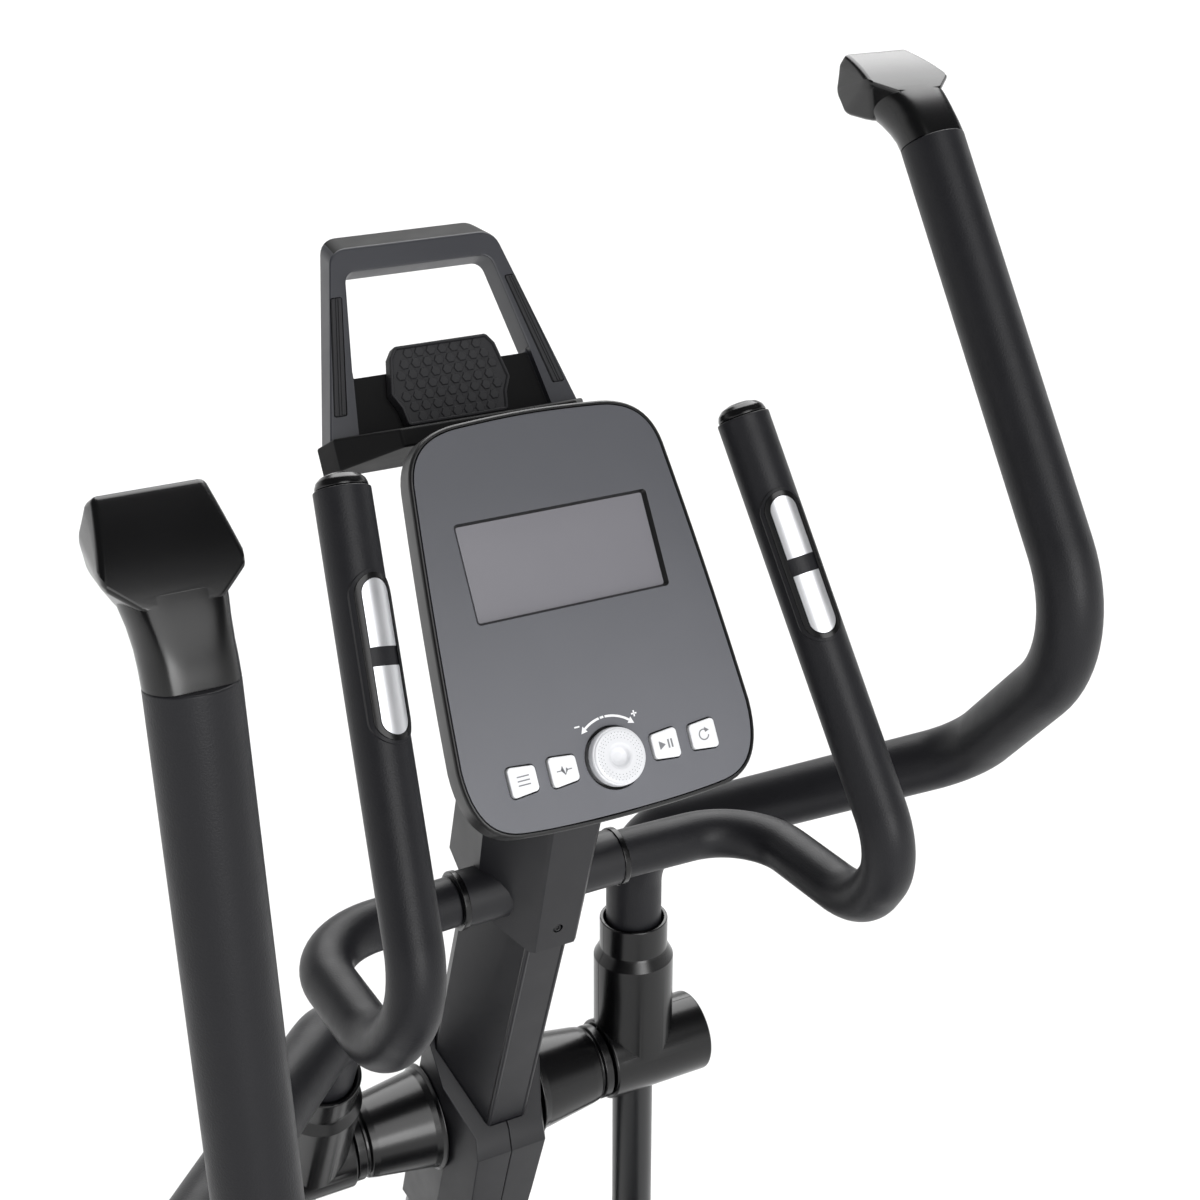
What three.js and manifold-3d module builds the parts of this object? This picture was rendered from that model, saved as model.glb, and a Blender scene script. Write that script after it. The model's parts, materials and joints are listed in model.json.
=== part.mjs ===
// An elliptical trainer (cross trainer) with moving arms, in millimetres.
// +X is the user's right, +Y the way the user faces and +Z up. The floor is Z = 0.
// It stands as its crank is at a dead centre: right pedal fully back, left pedal fully forward.
import * as THREE from 'three';
import { mergeVertices } from 'three/addons/utils/BufferGeometryUtils.js';
import Module from 'manifold-3d';

const wasm = await Module();
wasm.setup();

// ---------------------------------------------------------------- driving dimensions
const GAP = 0.3; // air between neighbouring pieces
const degrees = THREE.MathUtils.degToRad;

const PIVOT_Z = 900; // height of the axle that both arms swing on
const ARM_X = 139; // plane of each arm's tube, its rail and its pedal
const SWING = degrees(26.7); // travel of an arm between the crank's dead centres
const LOWER_ARM = 650; // axle to the rail's front joint
const AXLE_R = 10;

// Crank, measured from the arm axle in Y and from the floor in Z.
const CRANK_Y = -700;
const CRANK_Z = 330;
const FLYWHEEL_Y = -470;
const FLYWHEEL_Z = 300;

// The rail joint when its arm hangs straight down, and when it is swung forward.
const BACK_JOINT = new THREE.Vector2(0, PIVOT_Z - LOWER_ARM);
const FRONT_JOINT = new THREE.Vector2(
  LOWER_ARM * Math.sin(SWING),
  PIVOT_Z - LOWER_ARM * Math.cos(SWING),
);
// The crank radius that makes both rails the same length at the two dead centres.
const backRun = BACK_JOINT.x - CRANK_Y;
const frontRun = FRONT_JOINT.x - CRANK_Y;
const backRise = CRANK_Z - BACK_JOINT.y;
const frontRise = CRANK_Z - FRONT_JOINT.y;
const CRANK_R =
  (frontRun ** 2 - backRun ** 2 + frontRise ** 2 - backRise ** 2) / (2 * (frontRun + backRun));
const RAIL = Math.hypot(backRun + CRANK_R, backRise);
const RAIL_END_R = 27;

// Base frame
const FRONT_FOOT_Y = 315; // front stabiliser, from the arm axle
const REAR_FOOT_Y = -745;
const STABILISER_DEPTH = 70;
const STABILISER_TOP = 72;
const BEAM_TOP = 112;
const BEAM_HALF = 30;

// Mast: its rear face leans towards the user as it rises.
const MAST_LEAN = 0.3625; // run towards the user for each unit of rise
const MAST_REAR = -48.5; // rear face at the height of the axle
const MAST_DEPTH = 76;
const MAST_JOINT = -40; // where the upper mast sits on the lower one, from the axle
const MAST_TOP = 330;
const MAST_WALL = 3;

// Console: its face leans back from vertical.
const FACE_CENTRE = new THREE.Vector3(0, -155, 507.7); // middle of the display
const FACE_LEAN = degrees(30.7);
const FACE_THICK = 18;
const DISPLAY = new THREE.Vector2(133, 63);
const BUTTON_ROW = -126;
const BUTTON_X = [-62, -35, 35, 62];
const BUTTON_NAMES = ['button_mode', 'button_recovery', 'button_start', 'button_reset'];
const BUTTON_HALF = 9.6;
const DIAL_R = 18.5;
const HOLDER_BACK = -107; // front face of the tablet holder, behind the console's face

// Fixed handlebar
const BAR_Y = -112.3;
const BAR_Z = 257.9;
const BAR_R = 12.5;
const BAR_HOLE_R = 14; // every hole that the bar passes through
const GRIP_R = 17;
const SLEEVE_X = 62;
const GRIP_TIP = new THREE.Vector3(135.4, -140.6, 569.8);

// Upper arm handle
const HANDLE_R = 21.35;
const HANDLE_TOP = new THREE.Vector3(308.5, -91.4, 718.2);

// The origin is under the middle of the whole trainer.
const REAR_END = CRANK_Y - CRANK_R - RAIL_END_R;
const FRONT_END = FRONT_FOOT_Y + STABILISER_DEPTH / 2;
const PIVOT_Y = -(REAR_END + FRONT_END) / 2;

// ---------------------------------------------------------------- materials
const finish = (color, roughness, metalness = 0) =>
  new THREE.MeshStandardMaterial({ color, roughness, metalness });

const glossBlack = () => finish(0x141416, 0.22);
const satinBlack = () => finish(0x2b2c30, 0.5);
const paintedSteel = () => finish(0x1c1d20, 0.35, 0.4);
const foam = () => finish(0x35353a, 0.85);
const rubber = () => finish(0x232327, 0.8);
const steel = () => finish(0x9a9ca0, 0.35, 1);
const chrome = () => finish(0xd8d9dc, 0.12, 1);
const faceGrey = () => finish(0x616268, 0.45);
const displayGrey = () => finish(0x838287, 0.2);
const keyWhite = () => finish(0xd9dadd, 0.4);

// ---------------------------------------------------------------- solids
function facingOut(geometry) {
  const plain = geometry.clone();
  plain.deleteAttribute('normal');
  plain.deleteAttribute('uv');
  const merged = mergeVertices(plain, 1e-4);
  const p = merged.attributes.position;
  const index = merged.index;
  const [a, b, c] = [new THREE.Vector3(), new THREE.Vector3(), new THREE.Vector3()];
  let volume = 0;
  for (let i = 0; i < index.count; i += 3) {
    a.fromBufferAttribute(p, index.getX(i));
    b.fromBufferAttribute(p, index.getX(i + 1));
    c.fromBufferAttribute(p, index.getX(i + 2));
    volume += a.dot(b.cross(c));
  }
  if (volume < 0) {
    for (let i = 0; i < index.count; i += 3) {
      const first = index.getX(i);
      index.setX(i, index.getX(i + 1));
      index.setX(i + 1, first);
    }
  }
  return merged;
}

function toSolid(geometry) {
  const closed = facingOut(geometry);
  return new wasm.Manifold(
    new wasm.Mesh({
      numProp: 3,
      vertProperties: new Float32Array(closed.attributes.position.array),
      triVerts: new Uint32Array(closed.index.array),
    }),
  );
}

function fromSolid(manifold) {
  const mesh = manifold.getMesh();
  const geometry = new THREE.BufferGeometry();
  geometry.setAttribute('position', new THREE.BufferAttribute(mesh.vertProperties, 3));
  geometry.setIndex(new THREE.BufferAttribute(mesh.triVerts, 1));
  return geometry;
}

function join(...geometries) {
  return fromSolid(geometries.map(toSolid).reduce((whole, piece) => whole.add(piece)));
}

function cut(body, ...tools) {
  return fromSolid(tools.map(toSolid).reduce((rest, tool) => rest.subtract(tool), toSolid(body)));
}

// A box between two corners.
function block(x0, x1, y0, y1, z0, z1) {
  const box = new THREE.BoxGeometry(x1 - x0, y1 - y0, z1 - z0);
  return box.translate((x0 + x1) / 2, (y0 + y1) / 2, (z0 + z1) / 2);
}

// A round bar along X, from x0 to x1.
function rodX(radius, x0, x1, y = 0, z = 0, sides = 16) {
  const rod = new THREE.CylinderGeometry(radius, radius, x1 - x0, sides);
  return rod.rotateZ(-Math.PI / 2).translate((x0 + x1) / 2, y, z);
}

// A round bar standing along Z, from z0 to z1.
function rodZ(radius, z0, z1, x = 0, y = 0, sides = 16) {
  const rod = new THREE.CylinderGeometry(radius, radius, z1 - z0, sides);
  return rod.rotateX(Math.PI / 2).translate(x, y, (z0 + z1) / 2);
}

function outline(points) {
  return new THREE.Shape(points.map(([x, y]) => new THREE.Vector2(x, y)));
}

// A flat shape drawn in Y and Z, given thickness from x0 to x1.
function sideways(shape, x0, x1, curveSegments = 12) {
  const settings = { depth: x1 - x0, bevelEnabled: false, curveSegments };
  const basis = new THREE.Matrix4().makeBasis(
    new THREE.Vector3(0, 1, 0),
    new THREE.Vector3(0, 0, 1),
    new THREE.Vector3(1, 0, 0),
  );
  return new THREE.ExtrudeGeometry(shape, settings).applyMatrix4(basis).translate(x0, 0, 0);
}

// A flat shape drawn in X and Y, given thickness from z0 to z1.
function upright(shape, z0, z1, curveSegments = 8) {
  const settings = { depth: z1 - z0, bevelEnabled: false, curveSegments };
  return new THREE.ExtrudeGeometry(shape, settings).translate(0, 0, z0);
}

// A turned piece about the X axis, from [x, radius] pairs.
function turnedX(profile, sides = 20) {
  const points = profile.map(([x, radius]) => new THREE.Vector2(radius, x));
  return new THREE.LatheGeometry(points, sides).rotateZ(-Math.PI / 2);
}

// A closed skin over a stack of sections that all have the same number of points.
function loft(sections) {
  const count = sections[0].length;
  const vertices = sections.flat();
  const faces = [];
  for (let s = 0; s + 1 < sections.length; s += 1) {
    for (let i = 0; i < count; i += 1) {
      const a = s * count + i;
      const b = s * count + ((i + 1) % count);
      faces.push(a, b, b + count, a, b + count, a + count);
    }
  }
  const last = (sections.length - 1) * count;
  for (let i = 1; i + 1 < count; i += 1) {
    faces.push(0, i + 1, i);
    faces.push(last, last + i, last + i + 1);
  }
  const geometry = new THREE.BufferGeometry();
  const flat = vertices.flatMap((v) => [v.x, v.y, v.z]);
  geometry.setAttribute('position', new THREE.Float32BufferAttribute(flat, 3));
  geometry.setIndex(faces);
  return geometry;
}

// A path of straight runs through the points, rounded at each inner corner.
function bentPath(points, trims) {
  const path = new THREE.CurvePath();
  let start = points[0];
  for (let i = 1; i + 1 < points.length; i += 1) {
    const corner = points[i];
    const back = points[i - 1].clone().sub(corner).setLength(trims[i - 1]);
    const on = points[i + 1].clone().sub(corner).setLength(trims[i - 1]);
    const enter = corner.clone().add(back);
    const leave = corner.clone().add(on);
    path.add(new THREE.LineCurve3(start, enter));
    path.add(new THREE.QuadraticBezierCurve3(enter, corner, leave));
    start = leave;
  }
  path.add(new THREE.LineCurve3(start, points[points.length - 1]));
  return path;
}

// A round bar or, with a bore, a sleeve along a path.
function swept(path, radius, bore = 0, sides = 12, step = 14) {
  const circle = (r) => {
    const ring = [];
    for (let i = 0; i < sides; i += 1) {
      const angle = (2 * Math.PI * i) / sides;
      ring.push(new THREE.Vector2(r * Math.cos(angle), r * Math.sin(angle)));
    }
    return ring;
  };
  const section = new THREE.Shape(circle(radius));
  if (bore > 0) {
    section.holes.push(new THREE.Path(circle(bore)));
  }
  const steps = Math.max(4, Math.round(path.getLength() / step));
  return new THREE.ExtrudeGeometry(section, { steps, extrudePath: path, bevelEnabled: false });
}

const mirrored = (geometry) => geometry.clone().scale(-1, 1, 1);

// ---------------------------------------------------------------- placing pieces
function place(parent, name, geometry, material) {
  const mesh = new THREE.Mesh(facingOut(geometry), material);
  mesh.name = name;
  parent.add(mesh);
  return mesh;
}

// One piece on the right and its mirror image on the left.
function placePair(parents, name, geometry, material) {
  place(parents.right, `${name}_R`, geometry, material());
  place(parents.left, `${name}_L`, mirrored(geometry), material());
}

const trainer = new THREE.Group();
const ground = new THREE.Group(); // Y from the arm axle, Z from the floor
ground.position.y = PIVOT_Y;
trainer.add(ground);
const axleLevel = new THREE.Group(); // Y and Z from the arm axle
axleLevel.position.z = PIVOT_Z;
ground.add(axleLevel);
const onGround = { right: ground, left: ground };
const atAxle = { right: axleLevel, left: axleLevel };

// ---------------------------------------------------------------- base frame
const FLYWHEEL_AXLE_R = 6;
const FORK_RIGHT = [8, 14]; // the two cheeks that carry the flywheel's axle
const FORK_LEFT = [-42, -36];
const FORK_HALF = 18; // half their depth, front to back
const BRAKE_HINGE = new THREE.Vector2(FLYWHEEL_Y + 57, FLYWHEEL_Z - 128);
const BRAKE_HALF = [-34, 0]; // left and right sides of the magnet brake
const BRAKE_PIN_R = 4;
const EAR_HALF = 9; // half the depth of the ears that hold the brake's pin
const EAR_THICK = 5;
const BEAM_WALL = 3;
const CRANK_SHELL_R = 26; // the tube that the crank's axle turns in
const CRANK_SHELL_HALF = 28;

function baseBeam() {
  const [rear, front] = [REAR_FOOT_Y - 30, FRONT_FOOT_Y + 25];
  const tube = block(-BEAM_HALF, BEAM_HALF, rear, front, STABILISER_TOP + GAP, BEAM_TOP);
  const innerHalf = BEAM_HALF - BEAM_WALL;
  const hollow = block(
    -innerHalf, innerHalf, rear - 1, front - 20, STABILISER_TOP + BEAM_WALL, BEAM_TOP - BEAM_WALL,
  );
  const post = block(-15, 15, CRANK_Y - 24, CRANK_Y + 24, BEAM_TOP - 2, CRANK_Z);
  const shell = rodX(CRANK_SHELL_R, -CRANK_SHELL_HALF, CRANK_SHELL_HALF, CRANK_Y, CRANK_Z);
  // Plates stand on the beam, set a little into it.
  const plate = ([x0, x1], y, half, top) =>
    block(x0, x1, y - half, y + half, BEAM_TOP - 12, top);
  const besideBeam = 2 - BEAM_HALF;
  const brackets = [
    plate(FORK_RIGHT, FLYWHEEL_Y, FORK_HALF, FLYWHEEL_Z + 16),
    plate(FORK_LEFT, FLYWHEEL_Y, FORK_HALF, FLYWHEEL_Z + 16),
    plate([FORK_LEFT[0], besideBeam], FLYWHEEL_Y, FORK_HALF, BEAM_TOP),
    plate([BRAKE_HALF[0] - EAR_THICK, BRAKE_HALF[0] - GAP], BRAKE_HINGE.x, EAR_HALF, BRAKE_HINGE.y + 8),
    plate([BRAKE_HALF[1] + GAP, BRAKE_HALF[1] + EAR_THICK], BRAKE_HINGE.x, EAR_HALF, BRAKE_HINGE.y + 8),
    plate([BRAKE_HALF[0] - EAR_THICK, besideBeam], BRAKE_HINGE.x, EAR_HALF, BEAM_TOP),
    rodX(BRAKE_PIN_R, BRAKE_HALF[0] - 2, BRAKE_HALF[1] + 2, BRAKE_HINGE.x, BRAKE_HINGE.y, 12),
  ];
  const welded = join(cut(tube, hollow), post, shell, ...brackets);
  return cut(
    welded,
    rodX(AXLE_R + GAP, -40, 40, CRANK_Y, CRANK_Z),
    rodX(FLYWHEEL_AXLE_R + GAP, -60, 60, FLYWHEEL_Y, FLYWHEEL_Z),
  );
}

// A rounded bar across the trainer.
function crossTube(halfLength, y, z0, z1) {
  const half = STABILISER_DEPTH / 2;
  const chamfer = 14;
  const shape = outline([
    [y - half, z0 + chamfer], [y - half + chamfer, z0], [y + half - chamfer, z0],
    [y + half, z0 + chamfer], [y + half, z1 - chamfer], [y + half - chamfer, z1],
    [y - half + chamfer, z1], [y - half, z1 - chamfer],
  ]);
  return sideways(shape, -halfLength, halfLength);
}

const FRONT_HALF = 232;
const FOOT_X = 180; // middle of each front foot
const FOOT_HALF = 30;
const WHEEL_R = 28;
const WHEEL_Y = FRONT_FOOT_Y + 6;
const WHEEL_Z = 31;
const WHEEL_BORE = 6;
const REAR_HALF = 238;
const CAP_REACH = 24; // how far a rear end cap stands out past the bar's end
const TUBE_BOTTOM = 22;
const TUBE_HOLLOW = 22; // half the depth of each bar's hollow
const TUBE_ROOF = STABILISER_TOP - 8;

function frontStabiliser() {
  const [rear, front] = [FRONT_FOOT_Y - 28, FRONT_FOOT_Y + 20];
  const feet = [-FOOT_X, FOOT_X].map((x) => block(x - FOOT_HALF, x + FOOT_HALF, rear, front, 0, 30));
  const stub = rodX(WHEEL_BORE - GAP, FRONT_HALF - 7, FRONT_HALF + 26, WHEEL_Y, WHEEL_Z);
  const inside = [FRONT_FOOT_Y - TUBE_HOLLOW, FRONT_FOOT_Y + TUBE_HOLLOW];
  const hollow = block(6 - FRONT_HALF, FRONT_HALF - 6, ...inside, 34, TUBE_ROOF);
  const opening = block(-20, 20, FRONT_FOOT_Y - 10, FRONT_FOOT_Y + 10, 10, 40);
  const bar = crossTube(FRONT_HALF, FRONT_FOOT_Y, TUBE_BOTTOM, STABILISER_TOP);
  return join(cut(bar, hollow, opening), ...feet, stub, mirrored(stub));
}

function rearStabiliser() {
  const bar = crossTube(REAR_HALF, REAR_FOOT_Y, TUBE_BOTTOM, STABILISER_TOP);
  const inside = [REAR_FOOT_Y - TUBE_HOLLOW, REAR_FOOT_Y + TUBE_HOLLOW];
  return cut(bar, block(-REAR_HALF - 1, REAR_HALF + 1, ...inside, 30, TUBE_ROOF));
}

function rearEndCap() {
  const cap = crossTube(REAR_HALF + CAP_REACH, REAR_FOOT_Y, TUBE_BOTTOM - 2, STABILISER_TOP + 2);
  const start = REAR_HALF + GAP;
  const outer = cut(cap, block(-300, start, REAR_FOOT_Y - 50, REAR_FOOT_Y + 50, -5, 100));
  return join(outer, block(start, REAR_HALF + 22, REAR_FOOT_Y - 30, REAR_FOOT_Y + 30, 0, 40));
}

function transportWheel() {
  const halfWidth = 11;
  const profile = [
    [-halfWidth, WHEEL_BORE], [-halfWidth, WHEEL_R - 4], [4 - halfWidth, WHEEL_R],
    [halfWidth - 4, WHEEL_R], [halfWidth, WHEEL_R - 4], [halfWidth, WHEEL_BORE],
    [-halfWidth, WHEEL_BORE],
  ];
  return turnedX(profile, 16).translate(FRONT_HALF + 13, WHEEL_Y, WHEEL_Z);
}

place(ground, 'base_beam', baseBeam(), paintedSteel());
place(ground, 'front_stabilizer', frontStabiliser(), paintedSteel());
place(ground, 'rear_stabilizer', rearStabiliser(), paintedSteel());
placePair(onGround, 'rear_end_cap', rearEndCap(), rubber);
placePair(onGround, 'transport_wheel', transportWheel(), satinBlack);

// ---------------------------------------------------------------- mast and its collar
const mastRear = (z) => MAST_REAR - MAST_LEAN * z;

// The mast's section: a narrow rear face, sides that spread, and a rounded front.
function mastSection(z, inset) {
  const rear = mastRear(z) + inset;
  const front = mastRear(z) + MAST_DEPTH - inset;
  const half = [
    [12.5 - inset, rear], [15.5 - inset, rear + 3], [36 - inset, front - 16],
    [33 - inset, front - 6], [22 - inset, front],
  ];
  const right = half.map(([x, y]) => new THREE.Vector3(x, y, z));
  const left = half.map(([x, y]) => new THREE.Vector3(-x, y, z)).reverse();
  return [...right, ...left];
}

const mastSolid = (z0, z1, inset) => loft([mastSection(z0, inset), mastSection(z1, inset)]);

function upperMast() {
  return cut(
    mastSolid(MAST_JOINT + GAP, MAST_TOP, 0),
    mastSolid(MAST_JOINT - 5, MAST_TOP + 5, MAST_WALL),
    rodX(AXLE_R + GAP, -60, 60),
    rodX(BAR_HOLE_R, -60, 60, BAR_Y, BAR_Z),
  );
}

function lowerMast() {
  const foot = BEAM_TOP + GAP - PIVOT_Z;
  return cut(mastSolid(foot, MAST_JOINT, 0), mastSolid(foot - 5, MAST_JOINT + 5, MAST_WALL));
}

const COLLAR_BOTTOM = -112;
const COLLAR_TOP = 92;
const COVER_START = 40; // inner end of each pivot cover
const COVER_END = 107.5;

// Height, rear face, front face, half-width of the rear face and of the sides.
const COLLAR_LEVELS = [
  [COLLAR_BOTTOM, -26, 78, 24, 40],
  [-65, -43, 62, 26, 40],
  [-3, -64, 44, 28, 40],
  [14, -60, 40, 27, 40],
  [COLLAR_TOP, -60, 12, 27, 40],
];

function collarSection([z, rear, front, rearHalf, sideHalf]) {
  const half = [
    [0, rear], [rearHalf, rear], [sideHalf, rear + 28], [sideHalf, front - 20],
    [sideHalf - 14, front], [0, front],
  ];
  return half.map(([x, y]) => new THREE.Vector3(x, y, z));
}

function collarHalf() {
  const outer = loft(COLLAR_LEVELS.map(collarSection));
  const middle = block(-5, GAP / 2, -120, 120, -150, 150);
  // The mouth slopes up from the rear face to the front.
  const slope = Math.atan2(COLLAR_TOP - 14, 66);
  const above = block(-60, 60, -200, 200, 0, 200);
  above.rotateX(slope).translate(0, -60, 14);
  return cut(outer, middle, above, mastSolid(-200, 200, -GAP), rodX(AXLE_R + GAP, -60, 60));
}

function pivotCover() {
  const profile = [
    [COVER_START + GAP, 24], [COVER_START + GAP, 41], [43, 38.6], [48, 36.8], [92, 30.8],
    [96, 29.6], [97, 27], [99.5, 26.5], [100.5, 29.2], [106.5, 29.2], [COVER_END, 28],
    [COVER_END, AXLE_R + GAP], [94, AXLE_R + GAP], [90, 24], [COVER_START + GAP, 24],
  ];
  return turnedX(profile, 18);
}

place(axleLevel, 'mast_lower', lowerMast(), paintedSteel());
place(axleLevel, 'mast_upper', upperMast(), satinBlack());
placePair(atAxle, 'mast_collar', collarHalf(), satinBlack);
place(axleLevel, 'pivot_axle', rodX(AXLE_R, -186, 186), steel());
placePair(atAxle, 'pivot_cover', pivotCover(), glossBlack);

// ---------------------------------------------------------------- neck and fixed handlebar
// Height, rear face and half-width of the rear face, then of the sides.
const NECK_LEVELS = [
  [217, -137.2, 17.5, 42],
  [300, -162.7, 18.5, 44],
  [352, -178.5, 20, 46],
];
const NECK_DEPTH = 92;

function neckSection([z, rear, rearHalf, sideHalf]) {
  const front = mastRear(z) + NECK_DEPTH;
  const half = [
    [rearHalf - 3, rear], [rearHalf, rear + 3], [sideHalf, rear + 42], [sideHalf, front - 12],
    [sideHalf - 12, front],
  ];
  const right = half.map(([x, y]) => new THREE.Vector3(x, y, z));
  const left = half.map(([x, y]) => new THREE.Vector3(-x, y, z)).reverse();
  return [...right, ...left];
}

function neckCover() {
  const body = loft(NECK_LEVELS.map(neckSection));
  const boss = rodX(19.5, 20, SLEEVE_X - GAP, BAR_Y, BAR_Z);
  // The lower edge rises from the rear face to the front.
  const below = block(-80, 80, 0, 200, -200, 0);
  below.rotateX(degrees(38)).translate(0, -134, 217);
  const screwHole = new THREE.CylinderGeometry(3.6, 3.6, 20, 16).translate(0, -145, 235);
  return cut(
    join(body, boss, mirrored(boss)),
    below,
    mastSolid(150, MAST_TOP + GAP, -GAP),
    rodX(BAR_HOLE_R, -SLEEVE_X - 5, SLEEVE_X + 5, BAR_Y, BAR_Z),
    screwHole,
  );
}

// The bar leaves the neck sideways, curls towards the user and down, then rises as a grip.
const GRIP_POINTS = [
  new THREE.Vector3(167.5, -114.5, 256.5),
  new THREE.Vector3(169.7, -249.4, 260.4),
  new THREE.Vector3(162, -292.7, 319.5),
  GRIP_TIP,
];
const GRIP_TRIMS = [58, 34, 37];

function gripPath(from) {
  return bentPath([new THREE.Vector3(from, BAR_Y, BAR_Z), ...GRIP_POINTS], GRIP_TRIMS);
}

const GRIP_SIDES = 8;
const GRIP_STEP = 26;

function fixedHandlebar() {
  const core = swept(gripPath(SLEEVE_X + 1), BAR_R, 0, GRIP_SIDES, GRIP_STEP);
  const crossbar = rodX(BAR_R, -SLEEVE_X - 2, SLEEVE_X + 2, BAR_Y, BAR_Z, 12);
  return join(crossbar, core, mirrored(core));
}

const fixedGrip = () => swept(gripPath(SLEEVE_X + 1), GRIP_R, BAR_HOLE_R, GRIP_SIDES, GRIP_STEP);

const gripAxis = GRIP_TIP.clone().sub(GRIP_POINTS[2]).normalize();

function gripCap() {
  const profile = [[0.5, 0], [0.5, 15.4], [5, 15], [10, 12], [13.5, 7], [14.5, 0]];
  const points = profile.map(([height, radius]) => new THREE.Vector2(radius, height));
  const cap = new THREE.LatheGeometry(points, 12);
  const turn = new THREE.Quaternion().setFromUnitVectors(new THREE.Vector3(0, 1, 0), gripAxis);
  return cap.applyQuaternion(turn).translate(GRIP_TIP.x, GRIP_TIP.y, GRIP_TIP.z);
}

place(axleLevel, 'neck_cover', neckCover(), satinBlack());
place(axleLevel, 'fixed_handlebar', fixedHandlebar(), paintedSteel());
placePair(atAxle, 'fixed_grip', fixedGrip(), foam);
placePair(atAxle, 'fixed_grip_cap', gripCap(), glossBlack);

// ---------------------------------------------------------------- pulse sensors
// They sit on the user's side of each grip, between these distances down from its tip.
const SENSOR_SPAN = [52, 148];
const SENSOR_HALF = 12;
const PLATE_HALF = 8.6;
const BAND = 11; // black band between the two plates
// A grip's own frame: Z runs up the grip and -Y faces the user.
const gripFrame = new THREE.Matrix4();
{
  const side = new THREE.Vector3(1, 0, 0).addScaledVector(gripAxis, -gripAxis.x).normalize();
  const forward = new THREE.Vector3().crossVectors(gripAxis, side);
  gripFrame.makeBasis(side, forward, gripAxis).setPosition(GRIP_TIP);
}
const SENSOR_TURN = degrees(-14); // the plates face a little inwards

function stadium(half, low, high) {
  const shape = new THREE.Shape();
  shape.absarc(0, high - half, half, 0, Math.PI);
  shape.absarc(0, low + half, half, Math.PI, 2 * Math.PI);
  return shape;
}

// A patch of a sleeve around the grip, cut out by a long round-ended window.
function gripPatch(window, inner, outer) {
  const [low, high] = [-SENSOR_SPAN[1] - 2, -SENSOR_SPAN[0] + 2];
  const sleeve = cut(rodZ(outer, low, high, 0, 0, 20), rodZ(inner, low - 1, high + 1, 0, 0, 20));
  const reach = upright(window, GRIP_R - 8, GRIP_R + 10, 5);
  reach.rotateX(Math.PI / 2);
  return fromSolid(toSolid(sleeve).intersect(toSolid(reach)));
}

const onGrip = (geometry) => geometry.rotateZ(SENSOR_TURN).applyMatrix4(gripFrame);

function pulseBezel() {
  const [high, low] = SENSOR_SPAN.map((distance) => -distance);
  const full = gripPatch(stadium(SENSOR_HALF, low, high), GRIP_R + 0.2, GRIP_R + 2.4);
  const inset = SENSOR_HALF - PLATE_HALF - 0.2;
  const well = gripPatch(stadium(SENSOR_HALF - inset, low + inset, high - inset), GRIP_R + 0.9, GRIP_R + 3);
  return onGrip(cut(full, well));
}

function pulsePlate(upper) {
  const [high, low] = SENSOR_SPAN.map((distance) => -distance);
  const inset = SENSOR_HALF - PLATE_HALF;
  const middle = (high + low) / 2;
  const plate = gripPatch(stadium(PLATE_HALF, low + inset, high - inset), GRIP_R + 1.1, GRIP_R + 2.9);
  const keepFrom = upper ? middle + BAND / 2 : low - 5;
  const keepTo = upper ? high + 5 : middle - BAND / 2;
  const keep = block(-30, 30, -30, 30, keepFrom, keepTo);
  return onGrip(fromSolid(toSolid(plate).intersect(toSolid(keep))));
}

placePair(atAxle, 'pulse_bezel', pulseBezel(), glossBlack);
placePair(atAxle, 'pulse_plate_upper', pulsePlate(true), chrome);
placePair(atAxle, 'pulse_plate_lower', pulsePlate(false), chrome);

// ---------------------------------------------------------------- console
// The console's own frame: X right, Y up its face, Z out of its face towards the user.
const consoleGroup = new THREE.Group();
consoleGroup.position.copy(FACE_CENTRE);
consoleGroup.rotation.x = Math.PI / 2 - FACE_LEAN;
axleLevel.add(consoleGroup);

// The face's outline: narrower at the top, large corners, gently bowed edges.
function faceShape(scale = 1) {
  const shape = new THREE.Shape();
  const s = (value) => value * scale;
  shape.moveTo(0, s(-162));
  shape.quadraticCurveTo(s(45), s(-162), s(70), s(-159));
  shape.quadraticCurveTo(s(101), s(-155), s(101), s(-112));
  shape.quadraticCurveTo(s(96), s(-25), s(87), s(58));
  shape.quadraticCurveTo(s(83), s(88), s(50), s(91));
  shape.quadraticCurveTo(s(20), s(93), 0, s(93));
  shape.quadraticCurveTo(s(-20), s(93), s(-50), s(91));
  shape.quadraticCurveTo(s(-83), s(88), s(-87), s(58));
  shape.quadraticCurveTo(s(-96), s(-25), s(-101), s(-112));
  shape.quadraticCurveTo(s(-101), s(-155), s(-70), s(-159));
  shape.quadraticCurveTo(s(-45), s(-162), 0, s(-162));
  return shape;
}

// A key's outline: a rounded square, a little wider at the top.
function keyShape(half) {
  const top = half + 1;
  const round = 3;
  const shape = new THREE.Shape();
  shape.moveTo(-half + round, -half);
  shape.lineTo(half - round, -half);
  shape.quadraticCurveTo(half, -half, half, round - half);
  shape.lineTo(top, half - round);
  shape.quadraticCurveTo(top, half, top - round, half);
  shape.lineTo(round - top, half);
  shape.quadraticCurveTo(-top, half, -top, half - round);
  shape.lineTo(-half, round - half);
  shape.quadraticCurveTo(-half, -half, -half + round, -half);
  return shape;
}

const KEY_DEPTH = 9;
const KEY_PROUD = 2;
const DIAL_PROUD = 12;
const DIAL_DEPTH = 10;

const keyAt = (shape, z0, z1, x) => upright(shape, z0, z1, 2).translate(x, BUTTON_ROW, 0);
const dialRod = (radius, z0, z1, sides = 20) => rodZ(radius, z0, z1, 0, BUTTON_ROW, sides);

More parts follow.
